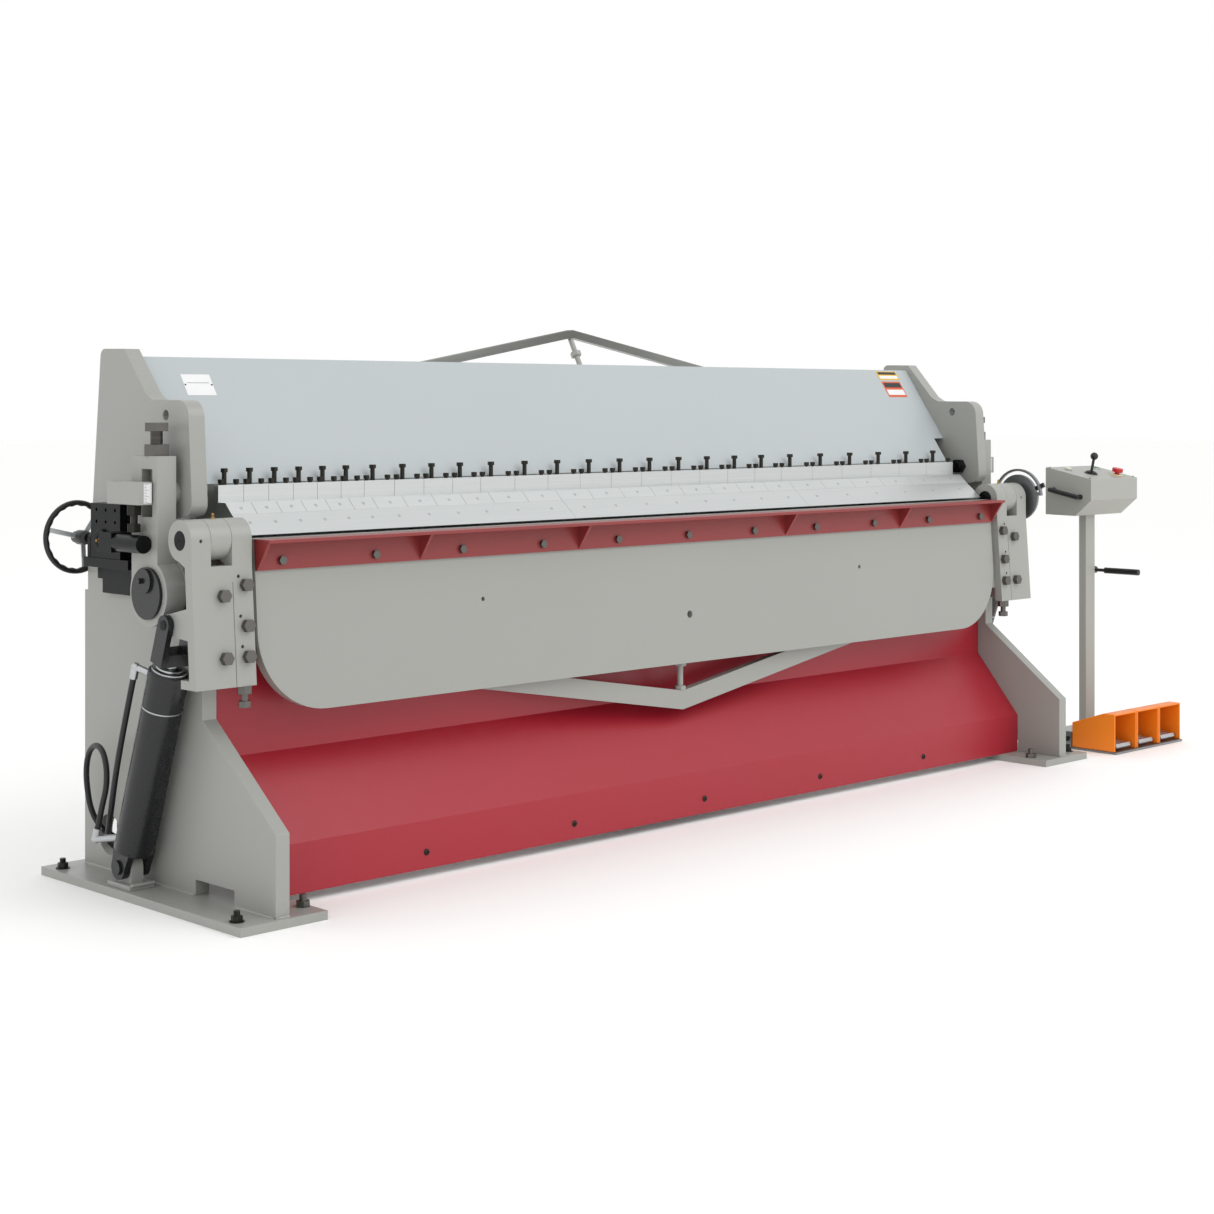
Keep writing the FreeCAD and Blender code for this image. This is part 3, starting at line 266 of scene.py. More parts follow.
# every machined or welded part keeps its CAD shape and gains the small radius that real edges have:
# edge width in mm, then its finish and its paint slot
softEdges = {
    "base_plates": (1.5, "greyEnamel", "machine_paint"), "jack_screws": (0.8, "boltSteel", "bolt_steel"),
    "side_frame_left": (1.5, "greyEnamel", "machine_paint"),
    "side_frame_right": (1.5, "greyEnamel", "machine_paint"),
    "bearing_housings": (2.0, "greyEnamel", "machine_paint"), "bronze_bushes": (0.4, "bronze", "bronze"),
    "bed_blade": (0.5, "groundSteel", "ground_steel"), "bed_plate": (1.0, "greyEnamel", "machine_paint"),
    "frame_rails": (2.0, "greyEnamel", "machine_paint"), "front_cover": (1.2, "coverRed", "red_paint"),
    "leaf_stops": (1.5, "greyEnamel", "machine_paint"),
    "cylinder_feet": (1.5, "greyEnamel", "machine_paint"),
    "hydraulic_unit": (2.5, "unitEnamel", "unit_paint"),
    "setback_brackets": (1.5, "oxideSteel", "black_oxide"),
    "console_post": (2.0, "consoleGrey", "console_paint"),
    "console_box": (3.0, "consoleGrey", "console_paint"), "pedal_base": (1.5, "dialPlate", "black_paint"),
    "pedal_hoods": (2.5, "hoodOrange", "orange_paint"), "pivot_blocks": (1.2, "oxideSteel", "black_oxide"),
    "pivot_pins": (1.0, "oxideSteel", "black_oxide"),
    "beam_end_plates": (2.0, "greyEnamel", "machine_paint"),
    # the tilted beam plate takes the machine grey with painted highlight and painted sky reflection
    "beam_plates": (1.5, "beamGreyPaintedLight", "machine_paint"),
    "finger_rail": (1.0, "greyEnamel", "machine_paint"),
    "beam_truss": (2.0, "greyEnamel", "machine_paint"),
    "fingers_narrow": (1.0, "groundSteel", "ground_steel"),
    "fingers_wide": (1.0, "groundSteel", "ground_steel"),
    "nose_bars": (0.5, "groundSteel", "ground_steel"), "finger_bolts": (0.9, "darkBolt", "bolt_steel"),
    "link_pins": (1.2, "oxideSteel", "black_oxide"), "scale_blocks": (1.2, "greyEnamel", "machine_paint"),
    "link_arm_left": (2.0, "greyEnamel", "machine_paint"),
    "link_arm_right": (2.0, "greyEnamel", "machine_paint"),
    "pressure_screw_left": (1.2, "boltSteel", "bolt_steel"),
    "pressure_screw_right": (1.2, "boltSteel", "bolt_steel"),
    "eccentric_shaft": (1.0, "groundSteel", "ground_steel"),
    "eccentric_covers": (1.2, "blackEnamel", "black_oxide"),
    # the leaf angle takes the red with painted shade and painted reflection
    "leaf_plate": (1.5, "greyEnamel", "machine_paint"), "leaf_angle": (1.0, "angleRedPaintedShade", "red_paint"),
    "leaf_truss": (2.0, "greyEnamel", "machine_paint"), "hinge_arms": (2.0, "greyEnamel", "machine_paint"),
    "leaf_bolts": (1.0, "boltSteel", "bolt_steel"), "arm_pins": (1.0, "oxideSteel", "black_oxide"),
    "angle_dial": (0.8, "dialPlate", "dial_plate"), "angle_dog": (0.8, "blackPlastic", "black_plastic"),
    "cylinder_barrel_left": (1.2, "blackEnamel", "black_paint"),
    "cylinder_barrel_right": (1.2, "blackEnamel", "black_paint"),
    "cylinder_rod_left": (1.2, "blackEnamel", "black_paint"),
    "cylinder_rod_right": (1.2, "blackEnamel", "black_paint"),
    "joystick": (0.6, "blackPlastic", "black_plastic"),
    "start_button": (0.8, "greenPlastic", "green_plastic"),
    "emergency_stop": (1.5, "redPlastic", "red_plastic"),
    "post_lever": (1.2, "blackPlastic", "black_plastic"),
    "pedal_left": (0.8, "ribbedAluminium", "pedal_aluminium"),
    "pedal_middle": (0.8, "ribbedAluminium", "pedal_aluminium"),
    "pedal_right": (0.8, "ribbedAluminium", "pedal_aluminium"),
}
sharpAngle = 32            # degrees between faces above which an edge is rounded
bodyOf = {node: body for body, nodes in frame["record"]["behaviour"]["bodies"].items() for node in nodes}


# loose pieces of a node that have a finish of their own, and how to know them by their box in mm
secondFinish = {
    "cylinder_barrel_left": ("zincSteel", lambda centre, size: centre.z > 110 and size.length < 150),
    "scale_blocks": ("darkBolt", lambda centre, size: size.x < 60 and size.y < 50),
    "link_pins": ("greyEnamel", lambda centre, size: size.x < 40),
    "pedal_hoods": ("zincSteel", lambda centre, size: size.z < 20),
    "hydraulic_unit": ("blackEnamel", lambda centre, size: size.x < 60),
}


def paintIslands(bm, isOther):
    # walks over each loose piece of the mesh and gives it the second finish when its box fits the rule
    left = set(bm.faces)
    while left:
        island, edge = set(), [left.pop()]
        while edge:
            face = edge.pop()
            island.add(face)
            for e in face.edges:
                for near in e.link_faces:
                    if near in left:
                        left.remove(near)
                        edge.append(near)
        places = [v.co for f in island for v in f.verts]
        low = Vector([min(p[k] for p in places) for k in range(3)]) / mm
        high = Vector([max(p[k] for p in places) for k in range(3)]) / mm
        if isOther((low + high) / 2, high - low):
            for face in island:
                face.material_index = 1


def softened(node, width, finish, slotName):
    bm = bmesh.new()
    bm.from_mesh(frame["nodes"][node].data)
    bmesh.ops.remove_doubles(bm, verts=bm.verts, dist=0.02 * mm)
    bmesh.ops.dissolve_limit(bm, angle_limit=radians(0.6), verts=bm.verts, edges=bm.edges,
                             use_dissolve_boundaries=False)
    edges = [e for e in bm.edges if e.is_manifold and e.calc_face_angle(0) > radians(sharpAngle)]
    bmesh.ops.bevel(bm, geom=edges, offset=width * mm, offset_type="OFFSET", affect="EDGES", segments=2,
                    profile=0.5, material=-1, clamp_overlap=True)
    for face in bm.faces:
        face.material_index = 0
    finishList = [finish]
    if node in secondFinish:
        finishList.append(secondFinish[node][0])
        paintIslands(bm, secondFinish[node][1])
    piece = finishPiece(node + "_soft", bm, bodyOf[node], finishList)
    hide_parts(node)
    return piece


for node, facts in softEdges.items():
    softened(node, *facts)
print("parts ready", len(softEdges))


def placed(at, along=None, turn=0.0):
    # millimetres, standing on a point, upright or pointing along a direction
    aim = Matrix.Identity(4)
    if along:
        aim = Vector(along).normalized().to_track_quat("Z", "Y").to_matrix().to_4x4()
    return Matrix.Scale(mm, 4) @ Matrix.Translation(Vector(at)) @ aim @ Matrix.Rotation(turn, 4, "Z")


def addPart(bm, part, matrix, finishNumber=0):
    # adds a finished small part to the piece, in the finish of that number in the piece's list
    bmesh.ops.remove_doubles(part, verts=part.verts, dist=0.001)
    bmesh.ops.recalc_face_normals(part, faces=part.faces)
    bmesh.ops.transform(part, matrix=matrix, verts=part.verts)
    for face in part.faces:
        face.material_index = finishNumber
    carrier = bpy.data.meshes.new("part")
    part.to_mesh(carrier)
    part.free()
    bm.from_mesh(carrier)
    bpy.data.meshes.remove(carrier)


def addTurned(bm, profile, matrix, finishNumber=0, steps=32):
    # profile of (radius, height) pairs spun about the part's own axis
    part = bmesh.new()
    points = [part.verts.new((r, 0, z)) for r, z in profile]
    lines = [part.edges.new(pair) for pair in zip(points, points[1:])]
    bmesh.ops.spin(part, geom=points + lines, cent=(0, 0, 0), axis=(0, 0, 1), angle=2 * pi, steps=steps,
                   use_merge=True)
    addPart(bm, part, matrix, finishNumber)


def addHexHead(bm, corner, height, matrix, finishNumber=0, chamfer=1.2):
    part = bmesh.new()
    bmesh.ops.create_circle(part, cap_ends=True, segments=6, radius=corner)
    made = bmesh.ops.extrude_face_region(part, geom=part.faces[:])
    raised = [v for v in made["geom"] if isinstance(v, bmesh.types.BMVert)]
    bmesh.ops.translate(part, vec=(0, 0, height), verts=raised)
    rim = [e for e in part.edges if all(v in raised for v in e.verts)]
    bmesh.ops.bevel(part, geom=rim, offset=chamfer, offset_type="OFFSET", affect="EDGES", segments=2,
                    profile=0.5,
                    material=-1)
    addPart(bm, part, matrix, finishNumber)


def addBlock(bm, size, matrix, finishNumber=0, soft=1.0, segments=2):
    part = bmesh.new()
    bmesh.ops.create_cube(part, size=1, matrix=Matrix.Diagonal((*size, 1)))
    bmesh.ops.bevel(part, geom=part.edges[:], offset=soft, offset_type="OFFSET", affect="EDGES",
                    segments=segments,
                    profile=0.5, material=-1)
    addPart(bm, part, matrix, finishNumber)


def threadProfile(radius, length, pitch, depth):
    # ridges of a screw thread as a profile to turn
    turns = int(length / pitch)
    profile = [(0, 0)]
    for k in range(turns):
        profile += [(radius - depth, k * pitch), (radius, (k + 0.5) * pitch)]
    return profile + [(radius - depth, turns * pitch), (0, turns * pitch)]


hinge = (-165.0, 892.0)                 # Y and Z of the bending axis
shaft = (-39.57, 771.79)                # Y and Z of the eccentric shaft

anchorBolts = dict(x=1707, y=392, top=22, washer=18, washerThick=3, corner=14, height=12, radius=8, stub=26)


def makeAnchorBolts():
    bm = bmesh.new()
    a = anchorBolts
    for x in (-a["x"], a["x"]):
        for y in (-a["y"], a["y"]):
            hole, thick = a["radius"] + 0.4, a["washerThick"]
            ring = [(hole, 0), (a["washer"], 0), (a["washer"], thick - 0.6), (hole, thick), (hole, 0)]
            addTurned(bm, ring, placed((x, y, a["top"])))
            spun = 0.4 + x * 0.001                     # every nut stops at its own angle
            addHexHead(bm, a["corner"], a["height"], placed((x, y, a["top"] + thick), turn=spun))
            thread = threadProfile(a["radius"], 40, 2, 0.7)
            addTurned(bm, thread, placed((x, y, a["top"] + a["stub"] - 40)), steps=20)
    return finishPiece("anchor_bolts", bm, "machine", ["darkBolt"])


coverScrews = dict(pitch=524, offset=8, height=65, front=-268, radius=9)


def makeCoverScrews():
    bm = bmesh.new()
    for k in range(-2, 3):
        at = (coverScrews["pitch"] * k + coverScrews["offset"], coverScrews["front"], coverScrews["height"])
        r = coverScrews["radius"]
        addTurned(bm, [(0, 2.4), (2.6, 2.4), (2.8, 5.2), (5, 5), (r - 1, 2.6), (r, 0), (0, 0)],
                  placed(at, (0, -1, 0)), steps=20)
    return finishPiece("cover_screws", bm, "machine", ["darkBolt"])


nippleProfile = [(0, 0), (5, 0), (5, 4), (3, 5), (3, 8), (4, 9.5), (3.4, 12), (1.4, 13.5), (0, 13.5)]


pivot = (1703.0, 215.0, 875.0)          # outer face of the right-hand beam pivot cover


def makeGreaseNipples():
    bm = bmesh.new()
    for side in (-1, 1):
        addTurned(bm, nippleProfile, placed((side * 1622, hinge[0], hinge[1] + 49.5)), steps=16)
        housing = (side * 1646, shaft[0] - 50, shaft[1] + 48)
        addTurned(bm, nippleProfile, placed(housing, (0, -0.72, 0.69)), steps=16)
    finishPiece("grease_nipples", bm, "machine", ["bronze"])
    bm = bmesh.new()
    washer = [(15, -0.5), (27, -0.5), (28.5, 0), (28.5, 1.6), (26, 2.4), (16, 1.2), (15, -0.5)]
    for side in (-1, 1):
        outer = placed((side * pivot[0], pivot[1], pivot[2]), (side, 0, 0))
        addTurned(bm, nippleProfile, outer, steps=16)
        addTurned(bm, washer, outer, 1)
    finishPiece("pivot_covers", bm, "setback_carriage", ["bronze", "oxideSteel"])


fingerWidths = [76.2] * 6 + [101.6] * 4 + [127.0] * 10 + [152.4] * 6
# Y, Z and outward normal of the row of screws on the finger and of the row on its nose
fingerRows = [((-87.0, 959.2), (0, -0.702, 0.712)), ((-126.0, 925.1), (0, -0.632, 0.775))]


def makeFingerScrews():
    bm = bmesh.new()
    x = -sum(fingerWidths) / 2
    sunk = [(0, 0.1), (2.2, 0.1), (2.4, 0.7), (4.6, 0.6), (5, 0), (0, -0.4)]
    for width in fingerWidths:
        middle = x + width / 2
        for row, out in fingerRows:
            addTurned(bm, sunk, placed((middle, *row), out), steps=14)
        x += width
    return finishPiece("finger_screws", bm, "clamp_beam", ["zincSteel"])


armEnds = dict(outer=1715, inner=1543)  # X of the two ends of each hinge pin


def makeHingePinEnds():
    # a centre-drilled cap on the left-hand pin, where the dial covers the other, and a ring at each inner end
    bm = bmesh.new()
    cap = [(0, -1.8), (2.6, -1.2), (3.2, 1.0), (21.5, 1.0), (23.4, 0.1), (23.4, -0.6), (0, -0.6)]
    ring = [(23.6, -0.4), (25.6, -0.4), (25.6, 0.3), (24.6, 0.8), (23.6, 0.3), (23.6, -0.4)]
    addTurned(bm, cap, placed((-armEnds["outer"], *hinge), (-1, 0, 0)))
    for side in (-1, 1):
        addTurned(bm, ring, placed((side * armEnds["inner"], *hinge), (-side, 0, 0)))
    return finishPiece("hinge_pin_ends", bm, "bending_leaf", ["oxideSteel"])


ruler = dict(x=1731, front=-50, low=978, high=1026, width=22, ticks=12, longTick=12, shortTick=7)


def makeScaleRulers():
    bm = bmesh.new()
    r = ruler
    for side in (-1, 1):
        middle = side * r["x"]
        plate = placed((middle, r["front"] - 0.4, (r["low"] + r["high"]) / 2))
        addBlock(bm, (r["width"], 1.2, r["high"] - r["low"]), plate, 0, 0.3, 1)
        for k in range(r["ticks"] + 1):
            long = r["longTick"] if k % 4 == 0 else r["shortTick"]
            z = r["low"] + 2 + (r["high"] - r["low"] - 4) * k / r["ticks"]
            addBlock(bm, (long, 0.3, 0.7), placed((middle - 10 + long / 2, r["front"] - 1.1, z)), 1, 0.05, 1)
    return finishPiece("scale_rulers", bm, "clamp_beam", ["whiteLabel", "blackPlastic"])


dialMarks = dict(face=1750, boss=1746, step=5, inner=92.5, outer=96.5, longInner=91.2, pointer=(64, 66, 68))


def makeDialMarks():
    bm = bmesh.new()
    d = dialMarks
    for angle in range(10, 175, d["step"]):
        long = angle % 30 == 0
        low = d["longInner"] if long else d["inner"]
        middle = (low + d["outer"]) / 2
        turn = Matrix.Rotation(radians(angle), 4, "X")
        at = turn @ Vector((0, middle, 0))
        matrix = placed((d["face"] + 0.1, hinge[0] + at.y, hinge[1] + at.z)) @ turn
        addBlock(bm, (0.5, d["outer"] - low, 1.4 if long else 0.8), matrix, 0, 0.08, 1)
    for angle in d["pointer"]:
        turn = Matrix.Rotation(radians(angle), 4, "X")
        at = turn @ Vector((0, 73, 0))
        matrix = placed((d["face"] + 0.1, hinge[0] + at.y, hinge[1] + at.z)) @ turn
        addBlock(bm, (0.6, 9, 2.2), matrix, 1, 0.1, 1)
    boss = placed((d["boss"], *hinge), (1, 0, 0))
    addHexHead(bm, 13, 9, boss, 2)
    addTurned(bm, [(13, 0), (20, 0), (20, 1.6), (13, 2), (13, 0)], boss, 2)
    return finishPiece("dial_marks", bm, "bending_leaf",
                       ["blackPlastic", "yellowMark", "boltSteel"])


platePlane = dict(foot=(-4.0, 1018.0), rise=(221.0, 323.0))       # face of the tilted beam plate, Y and Z


def onTilted(x, up, lift=0.4):
    # a point on the tilted plate and the way up it
    rise = Vector((0, *platePlane["rise"])).normalized()
    out = Vector((0, -rise.z, rise.y))
    return Vector((x, *platePlane["foot"])) + rise * up + out * lift, rise


# blank plates: where each one's middle is along the beam and up the plate
labels = [dict(name="rating_plate", x=-1444, up=303, size=(88, 66), finish="whiteLabel"),
          dict(name="caution_label", x=1468, up=366, size=(112, 36), finish="yellowMark"),
          dict(name="guard_label", x=1465, up=307, size=(104, 66), finish="orangeLabel")]


def makeLabels():
    for label in labels:
        bm = bmesh.new()
        at, rise = onTilted(label["x"], label["up"])
        matrix = placed(at, Vector((0, -rise.z, rise.y)))
        wide, tall = label["size"]
        addBlock(bm, (wide, tall, 0.8), matrix, 0, 0.3, 1)
        if label["finish"] != "whiteLabel":
            bands = [(tall * 0.26, tall * 0.3), (-tall * 0.2, tall * 0.34)]
            for number, (up, height) in enumerate(bands, start=1):
                band = matrix @ Matrix.Translation((0, up, 0.5))
                addBlock(bm, (wide * 0.9, height, 0.3), band, number, 0.1, 1)
        else:
            for k in (-1, 1):
                rivet = matrix @ Matrix.Translation((k * 40, 0, 0.4))
                addTurned(bm, [(0, 0), (2.6, 0), (2.4, 0.8), (0, 1.1)], rivet, 1, 12)
            addBlock(bm, (wide * 0.76, 1.2, 0.3), matrix @ Matrix.Translation((0, 6, 0.5)), 1, 0.1, 1)
        finishPiece(label["name"], bm, "clamp_beam",
                    [label["finish"], "blackPlastic", "whiteLabel"])


handwheel = dict(x=1656, y=411, z=873, rim=88, tube=8, grips=20, grip=2.4, dish=26)


def makeHandwheels():
    h = handwheel
    for side, name in ((-1, "left"), (1, "right")):
        bm = bmesh.new()
        part = bmesh.new()
        upright = Matrix.Translation((h["rim"], 0, 0)) @ Matrix.Rotation(pi / 2, 4, "X")
        section = bmesh.ops.create_circle(part, segments=14, radius=h["tube"], matrix=upright)
        bmesh.ops.spin(part, geom=section["verts"] + part.edges[:], cent=(0, 0, 0), axis=(0, 0, 1),
                       angle=2 * pi,
                       steps=120, use_merge=True)
        for v in part.verts:                       # finger grips on the inside of the rim
            reach = hypot(v.co.x, v.co.y)
            inner = max(0.0, (h["rim"] - reach) / h["tube"])
            wave = h["grip"] * inner * (0.5 + 0.5 * cos(h["grips"] * atan2(v.co.y, v.co.x)))
            v.co.x *= 1 + wave / reach
            v.co.y *= 1 + wave / reach
        centre = (side * h["x"], h["y"], h["z"])
        back = placed(centre, (0, 1, 0))
        addPart(bm, part, back)
        hub = [(0, -58), (12, -58), (17, -52), (19, -40), (19, -14), (15, -6), (15, 4), (11, 7), (0, 7)]
        addTurned(bm, hub, back)
        addTurned(bm, threadProfile(8, 84, 2, 0.6), placed((side * h["x"], 256, h["z"]), (0, 1, 0)), 2, 20)
        for k in range(3):
            turn = Matrix.Rotation(radians(120 * k + 15), 4, "Z")
            lean = Matrix.Rotation(-atan2(h["dish"], h["rim"] - 14), 4, "Y")
            spoke = back @ turn @ Matrix.Translation((48, 0, -h["dish"] / 2)) @ lean
            addBlock(bm, (78, 13, 5), spoke, 1, 1.6)
        piece = finishPiece("handwheel_" + name + "_turned", bm, "setback_wheel_" + name,
                            ["blackPlastic", "zincSteel", "boltSteel"])
        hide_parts("handwheel_" + name)


# Y and Z of the two pins; the skins stand a hair outside the barrel and the rod,
# and cap is how far the fork's outer face is from the cylinder's line
cylinderAxis = dict(x=1688, foot=(95.0, 73.0), head=(-119.0, 688.0), radius=50.3, rod=20.3, cap=46)


def makeCylinderSleeves():
    c = cylinderAxis
    for side, name in ((-1, "left"), (1, "right")):
        foot = Vector((side * c["x"], *c["foot"]))
        axis = Vector((0, c["head"][0] - c["foot"][0], c["head"][1] - c["foot"][1])).normalized()
        matrix = placed(foot, axis)
        bm = bmesh.new()
        r = c["radius"]
        tube = [(r - 6, 44), (r - 2, 45), (r, 48), (r, 92), (r + 0.6, 94), (r + 0.6, 97), (r, 99), (r, 505),
                (r + 0.8, 508), (r + 0.8, 522), (r - 1, 526.5), (40, 527)]
        gland = [(21, 526), (43, 526), (44.5, 528), (44.5, 533), (42, 535), (34, 535.5), (33, 539), (24, 540),
                 (21, 538), (21, 526)]
        band = [(r + 0.1, 429), (r + 0.9, 430), (r + 0.9, 431.5), (r + 0.1, 432.5)]
        addTurned(bm, tube, matrix, 0, 72)
        addTurned(bm, gland, matrix, 1, 64)
        addTurned(bm, band, matrix, 1, 72)
        finishPiece("barrel_" + name + "_sleeve", bm, "barrel_" + name,
                    ["blackEnamel", "zincSteel"])
        bm = bmesh.new()
        addTurned(bm, [(c["rod"], 300), (c["rod"], 549.5)], matrix, 0, 56)
        finishPiece("rod_" + name + "_chrome", bm, "rod_" + name, ["chromeRod"])
        bm = bmesh.new()
        head = Vector((side * (c["x"] + c["cap"]), *c["head"]))
        addTurned(bm, [(0, 0.4), (9, 0.4), (12.2, 0), (12.2, -2), (0, -2)], placed(head, (side, 0, 0)), 0, 40)
        finishPiece("clevis_" + name + "_cap", bm, "rod_" + name, ["oxideSteel"])


# where each bare thread starts, on the right-hand side
screws = dict(pressure=(1688.5, -22, 1119), stop=(1738, 0, 907))


def makeThreads():
    for side, name in ((-1, "left"), (1, "right")):
        bm = bmesh.new()
        x, y, z = screws["pressure"]
        addTurned(bm, threadProfile(15.6, 34, 3, 1.2), placed((side * x, y, z)), 0, 36)
        finishPiece("pressure_thread_" + name, bm, "clamp_link_" + name, ["darkBolt"])
    bm = bmesh.new()
    for side in (-1, 1):
        x, y, z = screws["stop"]
        addTurned(bm, threadProfile(9.5, 66, 2.5, 0.9), placed((side * x, y, z)), 0, 28)
    finishPiece("stop_threads", bm, "clamp_beam", ["boltSteel"])


consolePanel = dict(front=(-258.0, 947.0), rear=(-64.0, 988.0), side=2062)
consoleSpots = dict(button=(2320, -115), stop=(2300, -215), lamp=(2132, -116), stick=(2180, -182))   # X and Y


def onPanel(x, y, lift=0.0):
    # a point over the sloping console panel and its outward normal
    (y0, z0), (y1, z1) = consolePanel["front"], consolePanel["rear"]
    length = hypot(y1 - y0, z1 - z0)
    out = Vector((0, -(z1 - z0) / length, (y1 - y0) / length))
    return Vector((x, y, z0 + (z1 - z0) * (y - y0) / (y1 - y0))) + out * lift, out


def makeConsoleDetails():
    bm = bmesh.new()
    at, out = onPanel(*consoleSpots["button"])
    addTurned(bm, [(11.4, 0), (15, 0), (15, 2.5), (14, 4), (11.6, 4), (11.4, 0)], placed(at, out), 0)
    at, out = onPanel(*consoleSpots["stop"])
    addTurned(bm, [(9.4, 0), (22, 0), (22, 2), (20, 3.6), (9.4, 3.6), (9.4, 0)], placed(at, out), 1)
    at, out = onPanel(*consoleSpots["lamp"])
    addTurned(bm, [(0, 9), (8, 8.4), (11, 6), (11, 0)], placed(at, out), 2)
    addTurned(bm, [(11.2, 0), (15, 0), (15, 3), (11.2, 4), (11.2, 0)], placed(at, out), 0)
    boot = [(10.4, 0), (24, 0), (25, 2), (22, 4), (22, 6), (18, 7), (18, 9), (14, 10), (10.8, 10.6),
            (10.4, 9.8)]
    at, out = onPanel(*consoleSpots["stick"])
    addTurned(bm, boot, placed(at, out), 3, 28)
    x = consolePanel["side"]
    standoff = [(0, 0), (9, 0), (9, 5), (7, 8), (7, 26), (0, 26)]
    for y, z in ((-100, 905), (-214, 882)):
        addTurned(bm, standoff, placed((x, y, z), (-1, 0, 0)), 3, 20)
    grip = [(0, 0), (7, 1), (9, 5), (9, 126), (7, 130), (0, 131)]
    addTurned(bm, grip, placed((x - 26, -93, 906.5), Vector((0, -128, -26))), 3, 24)
    screwHead = [(0, 1.2), (1.8, 1.2), (2, 2.2), (3.6, 2), (4.5, 0), (0, 0)]
    for cornerX in (2072, 2360):
        for cornerY in (-246, -76):
            at, out = onPanel(cornerX, cornerY)
            addTurned(bm, screwHead, placed(at, out), 4, 14)
    return finishPiece("console_fittings", bm, "machine",
                       ["zincSteel", "creamPlastic", "lensGlass", "blackPlastic", "boltSteel"])


pedal = dict(first=1943, pitch=146, ribs=9, ribPitch=15, front=-462, low=26, rise=26, length=142)


def makePedalRibs():
    for k, name in enumerate(("left", "middle", "right")):
        bm = bmesh.new()
        x = pedal["first"] + pedal["pitch"] * k
        slope = atan2(pedal["rise"], pedal["length"])
        for n in range(pedal["ribs"]):
            y = pedal["front"] + 10 + n * pedal["ribPitch"]
            z = pedal["low"] + (y - pedal["front"]) * pedal["rise"] / pedal["length"]
            addBlock(bm, (82, 4.5, 2.6), placed((x, y, z + 1)) @ Matrix.Rotation(slope, 4, "X"), 0, 0.7)
        addBlock(bm, (90, 5, 11), placed((x, pedal["front"] + 1, pedal["low"] + 1)), 0, 1.6)
        finishPiece("pedal_" + name + "_ribs", bm, "foot_pedal_" + name,
                    ["ribbedAluminium"])


glands = dict(frame=(1630, -294, 46), box=(1870, -285, 36))           # where the pedal cable goes in


def makeGlands():
    bm = bmesh.new()
    atFrame = placed(glands["frame"], (1, 0, 0))
    addTurned(bm, [(4.8, 22), (8, 21), (10, 16), (10, 9), (4.8, 9)], atFrame, 0, 24)
    addHexHead(bm, 13, 9, atFrame, 0)
    atBox = placed(glands["box"], (-1, 0, 0))
    addTurned(bm, [(4.8, 12), (8, 11), (9, 7), (9, 0), (4.8, 0)], atBox, 0, 24)
    return finishPiece("cable_glands", bm, "machine", ["blackPlastic"])


powerUnit = dict(lid=428, motor=(-200, 250, 474), fins=24, filler=(-330, 300), gauge=(145, 300, 470),
                 port=(200, 300, 455))


def makePowerUnitDetails():
    bm = bmesh.new()
    u = powerUnit
    fins = [(81, 0)]
    for k in range(u["fins"]):
        fins += [(83, k * 10 + 2), (90, k * 10 + 3), (90, k * 10 + 5), (83, k * 10 + 6)]
    addTurned(bm, fins + [(81, 242)], placed(u["motor"]), 0, 48)
    filler = [(0, 0), (30, 0), (30, 6), (26, 8), (26, 26), (22, 30), (0, 30)]
    addTurned(bm, filler, placed((*u["filler"], u["lid"])), 1, 32)
    gauge = [(0, 0), (24, 0), (26, 3), (26, 20), (22, 20), (21, 16), (0, 16)]
    addTurned(bm, gauge, placed(u["gauge"], (0, 1, 0)), 1, 32)
    addTurned(bm, [(0, 0), (7, 0), (7, 34), (5, 38), (0, 38)], placed(u["port"], (0, 1, 0)), 1, 20)
    for x in (-340, -60, 260):
        for y in (160, 340):
            addHexHead(bm, 9, 6, placed((x, y, u["lid"])), 1)
    return finishPiece("power_unit_fittings", bm, "machine", ["unitEnamel", "boltSteel"])


weld = dict(size=5.0, step=9.0, plate=22, frame=1630, gussets=(1519, 1010, 440))


def addWeld(bm, start, end):
    # a row of overlapping beads in the corner between two plates
    start, end = Vector(start), Vector(end)
    length = (end - start).length
    count = int(length / weld["step"])
    profile = [(0.6, 0)]
    for k in range(count):
        z = length * k / count
        profile += [(weld["size"] * 0.86, z + 0.4), (weld["size"], z + weld["step"] * 0.45)]
    addTurned(bm, profile + [(0.6, length)], placed(start, end - start), 0, 10)


def makeWelds():
    bm = bmesh.new()
    frameX, z = weld["frame"], weld["plate"]
    for side in (-1, 1):
        for y0, y1 in ((-430, -270), (-101, 412)):
            addWeld(bm, (side * frameX, y0, z), (side * frameX, y1, z))
        addWeld(bm, (side * (frameX - 39), -436.5, z), (side * (frameX - 1), -436.5, z))
        addWeld(bm, (side * 1653, 43, 34), (side * 1723, 43, 34))
    finishPiece("frame_welds", bm, "machine", ["greyEnamel"])
    bm = bmesh.new()
    for side in (-1, 1):
        for x in weld["gussets"]:
            addWeld(bm, (side * x + 4, -206, 876), (side * x + 4, -250, 879))
    # the welds take the angle's red with painted shade and painted reflection
    finishPiece("angle_welds", bm, "bending_leaf", ["angleRedPaintedShade"])


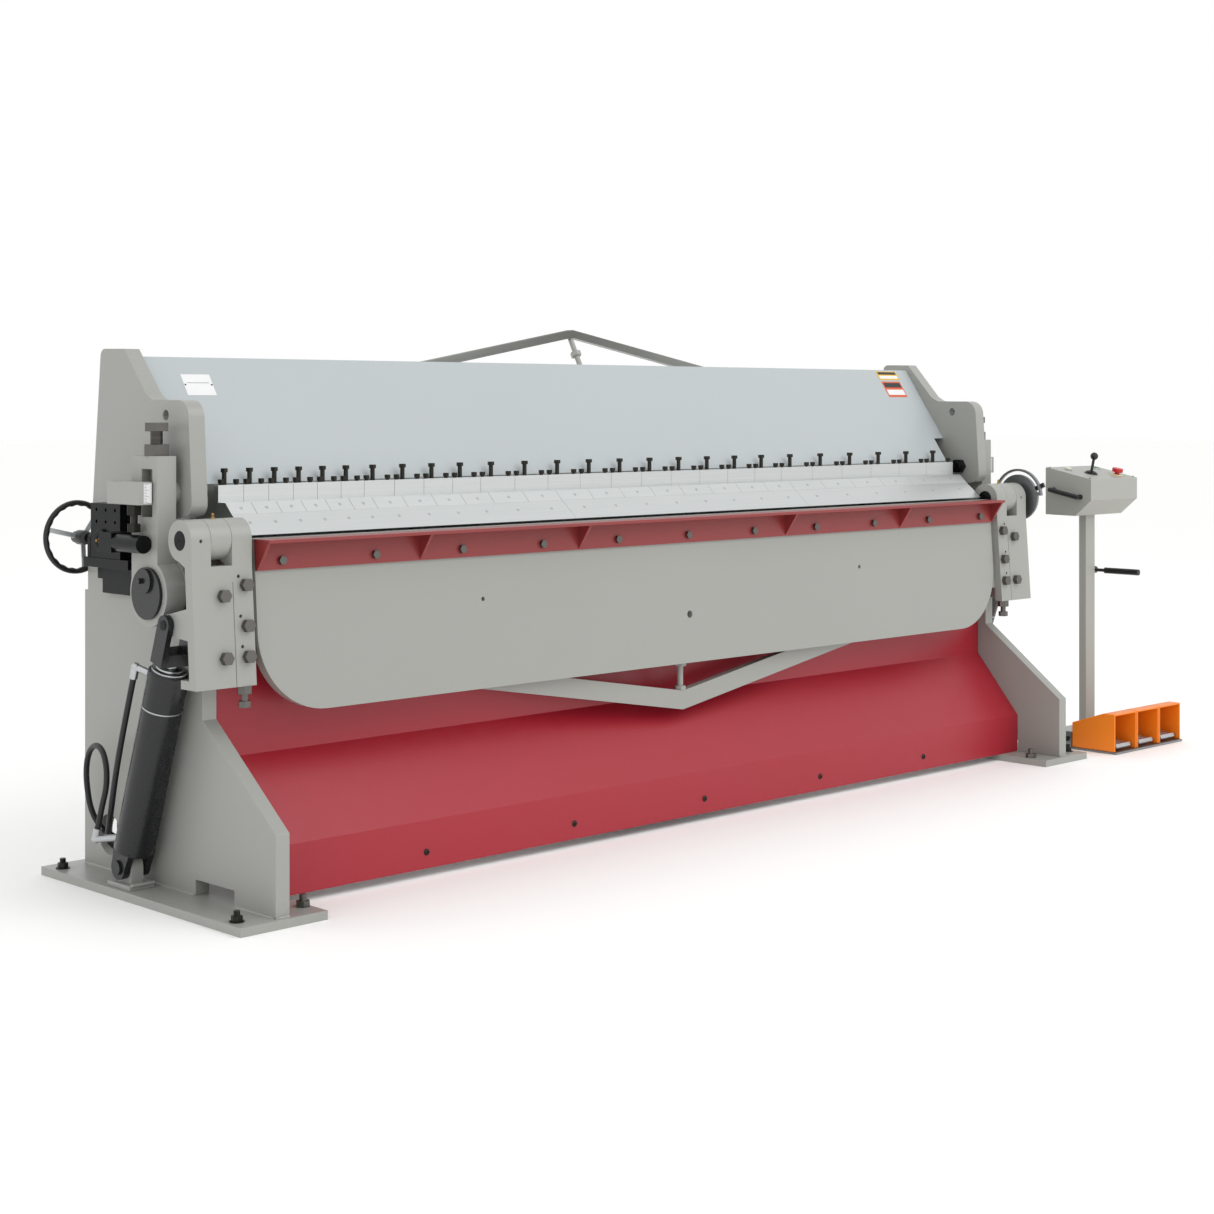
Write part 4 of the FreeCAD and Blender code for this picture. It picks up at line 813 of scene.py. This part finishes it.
for make in (makeAnchorBolts, makeCoverScrews, makeGreaseNipples, makeFingerScrews, makeHingePinEnds,
             makeScaleRulers, makeDialMarks, makeLabels, makeHandwheels, makeCylinderSleeves, makeThreads,
             makeConsoleDetails, makePedalRibs, makeGlands, makePowerUnitDetails, makeWelds):
    make()
print("fittings ready")


studio = dict(sky=1.0, keyPower=150.0, fillPower=15.0, floor="#fefefd", keyAt=(1.5, -5.0, 5.5), keySize=5.0,
              fillAt=(-6.0, -2.0, 3.5), fillSize=4.0)


def makeStudio():
    bm = bmesh.new()
    bmesh.ops.create_grid(bm, x_segments=2, y_segments=2, size=60)
    mesh = bpy.data.meshes.new("shopFloor")
    bm.to_mesh(mesh)
    bm.free()
    floor = bpy.data.objects.new("shopFloor", mesh)
    scene.collection.objects.link(floor)
    material, _, shader, _ = startMaterial("paleFloor", Roughness=0.7)
    shader.inputs["Base Color"].default_value = linear(studio["floor"])
    mesh.materials.append(material)
    world = bpy.data.worlds.new("studioSky")
    world.use_nodes = True
    sky = world.node_tree
    soft = sky.nodes["Background"]
    soft.inputs["Color"].default_value = (1, 1, 1, 1)
    soft.inputs["Strength"].default_value = studio["sky"]
    backdrop = addNode(sky, "ShaderNodeBackground", {"Strength": 1.0})
    rays = addNode(sky, "ShaderNodeLightPath")
    seen = addNode(sky, "ShaderNodeMath", {"operation": "MAXIMUM"},
                   {0: rays.outputs["Is Camera Ray"], 1: rays.outputs["Is Glossy Ray"]}).outputs[0]
    both = addNode(sky, "ShaderNodeMixShader", {}, {"Fac": seen, 1: soft.outputs[0], 2: backdrop.outputs[0]})
    sky.links.new(both.outputs[0], sky.nodes["World Output"].inputs["Surface"])
    backdrop.inputs["Color"].default_value = (1, 1, 1, 1)
    scene.world = world
    for name in ("key", "fill"):
        light = bpy.data.lights.new(name + "Panel", "AREA")
        light.size, light.energy = studio[name + "Size"], studio[name + "Power"]
        lamp = bpy.data.objects.new(name + "Panel", light)
        lamp.location = studio[name + "At"]
        aim = Vector((0, 0, 0.7)) - Vector(studio[name + "At"])
        lamp.rotation_euler = aim.to_track_quat("-Z", "Y").to_euler()
        scene.collection.objects.link(lamp)
    scene.view_settings.view_transform = "Standard"


makeStudio()
print("studio ready")
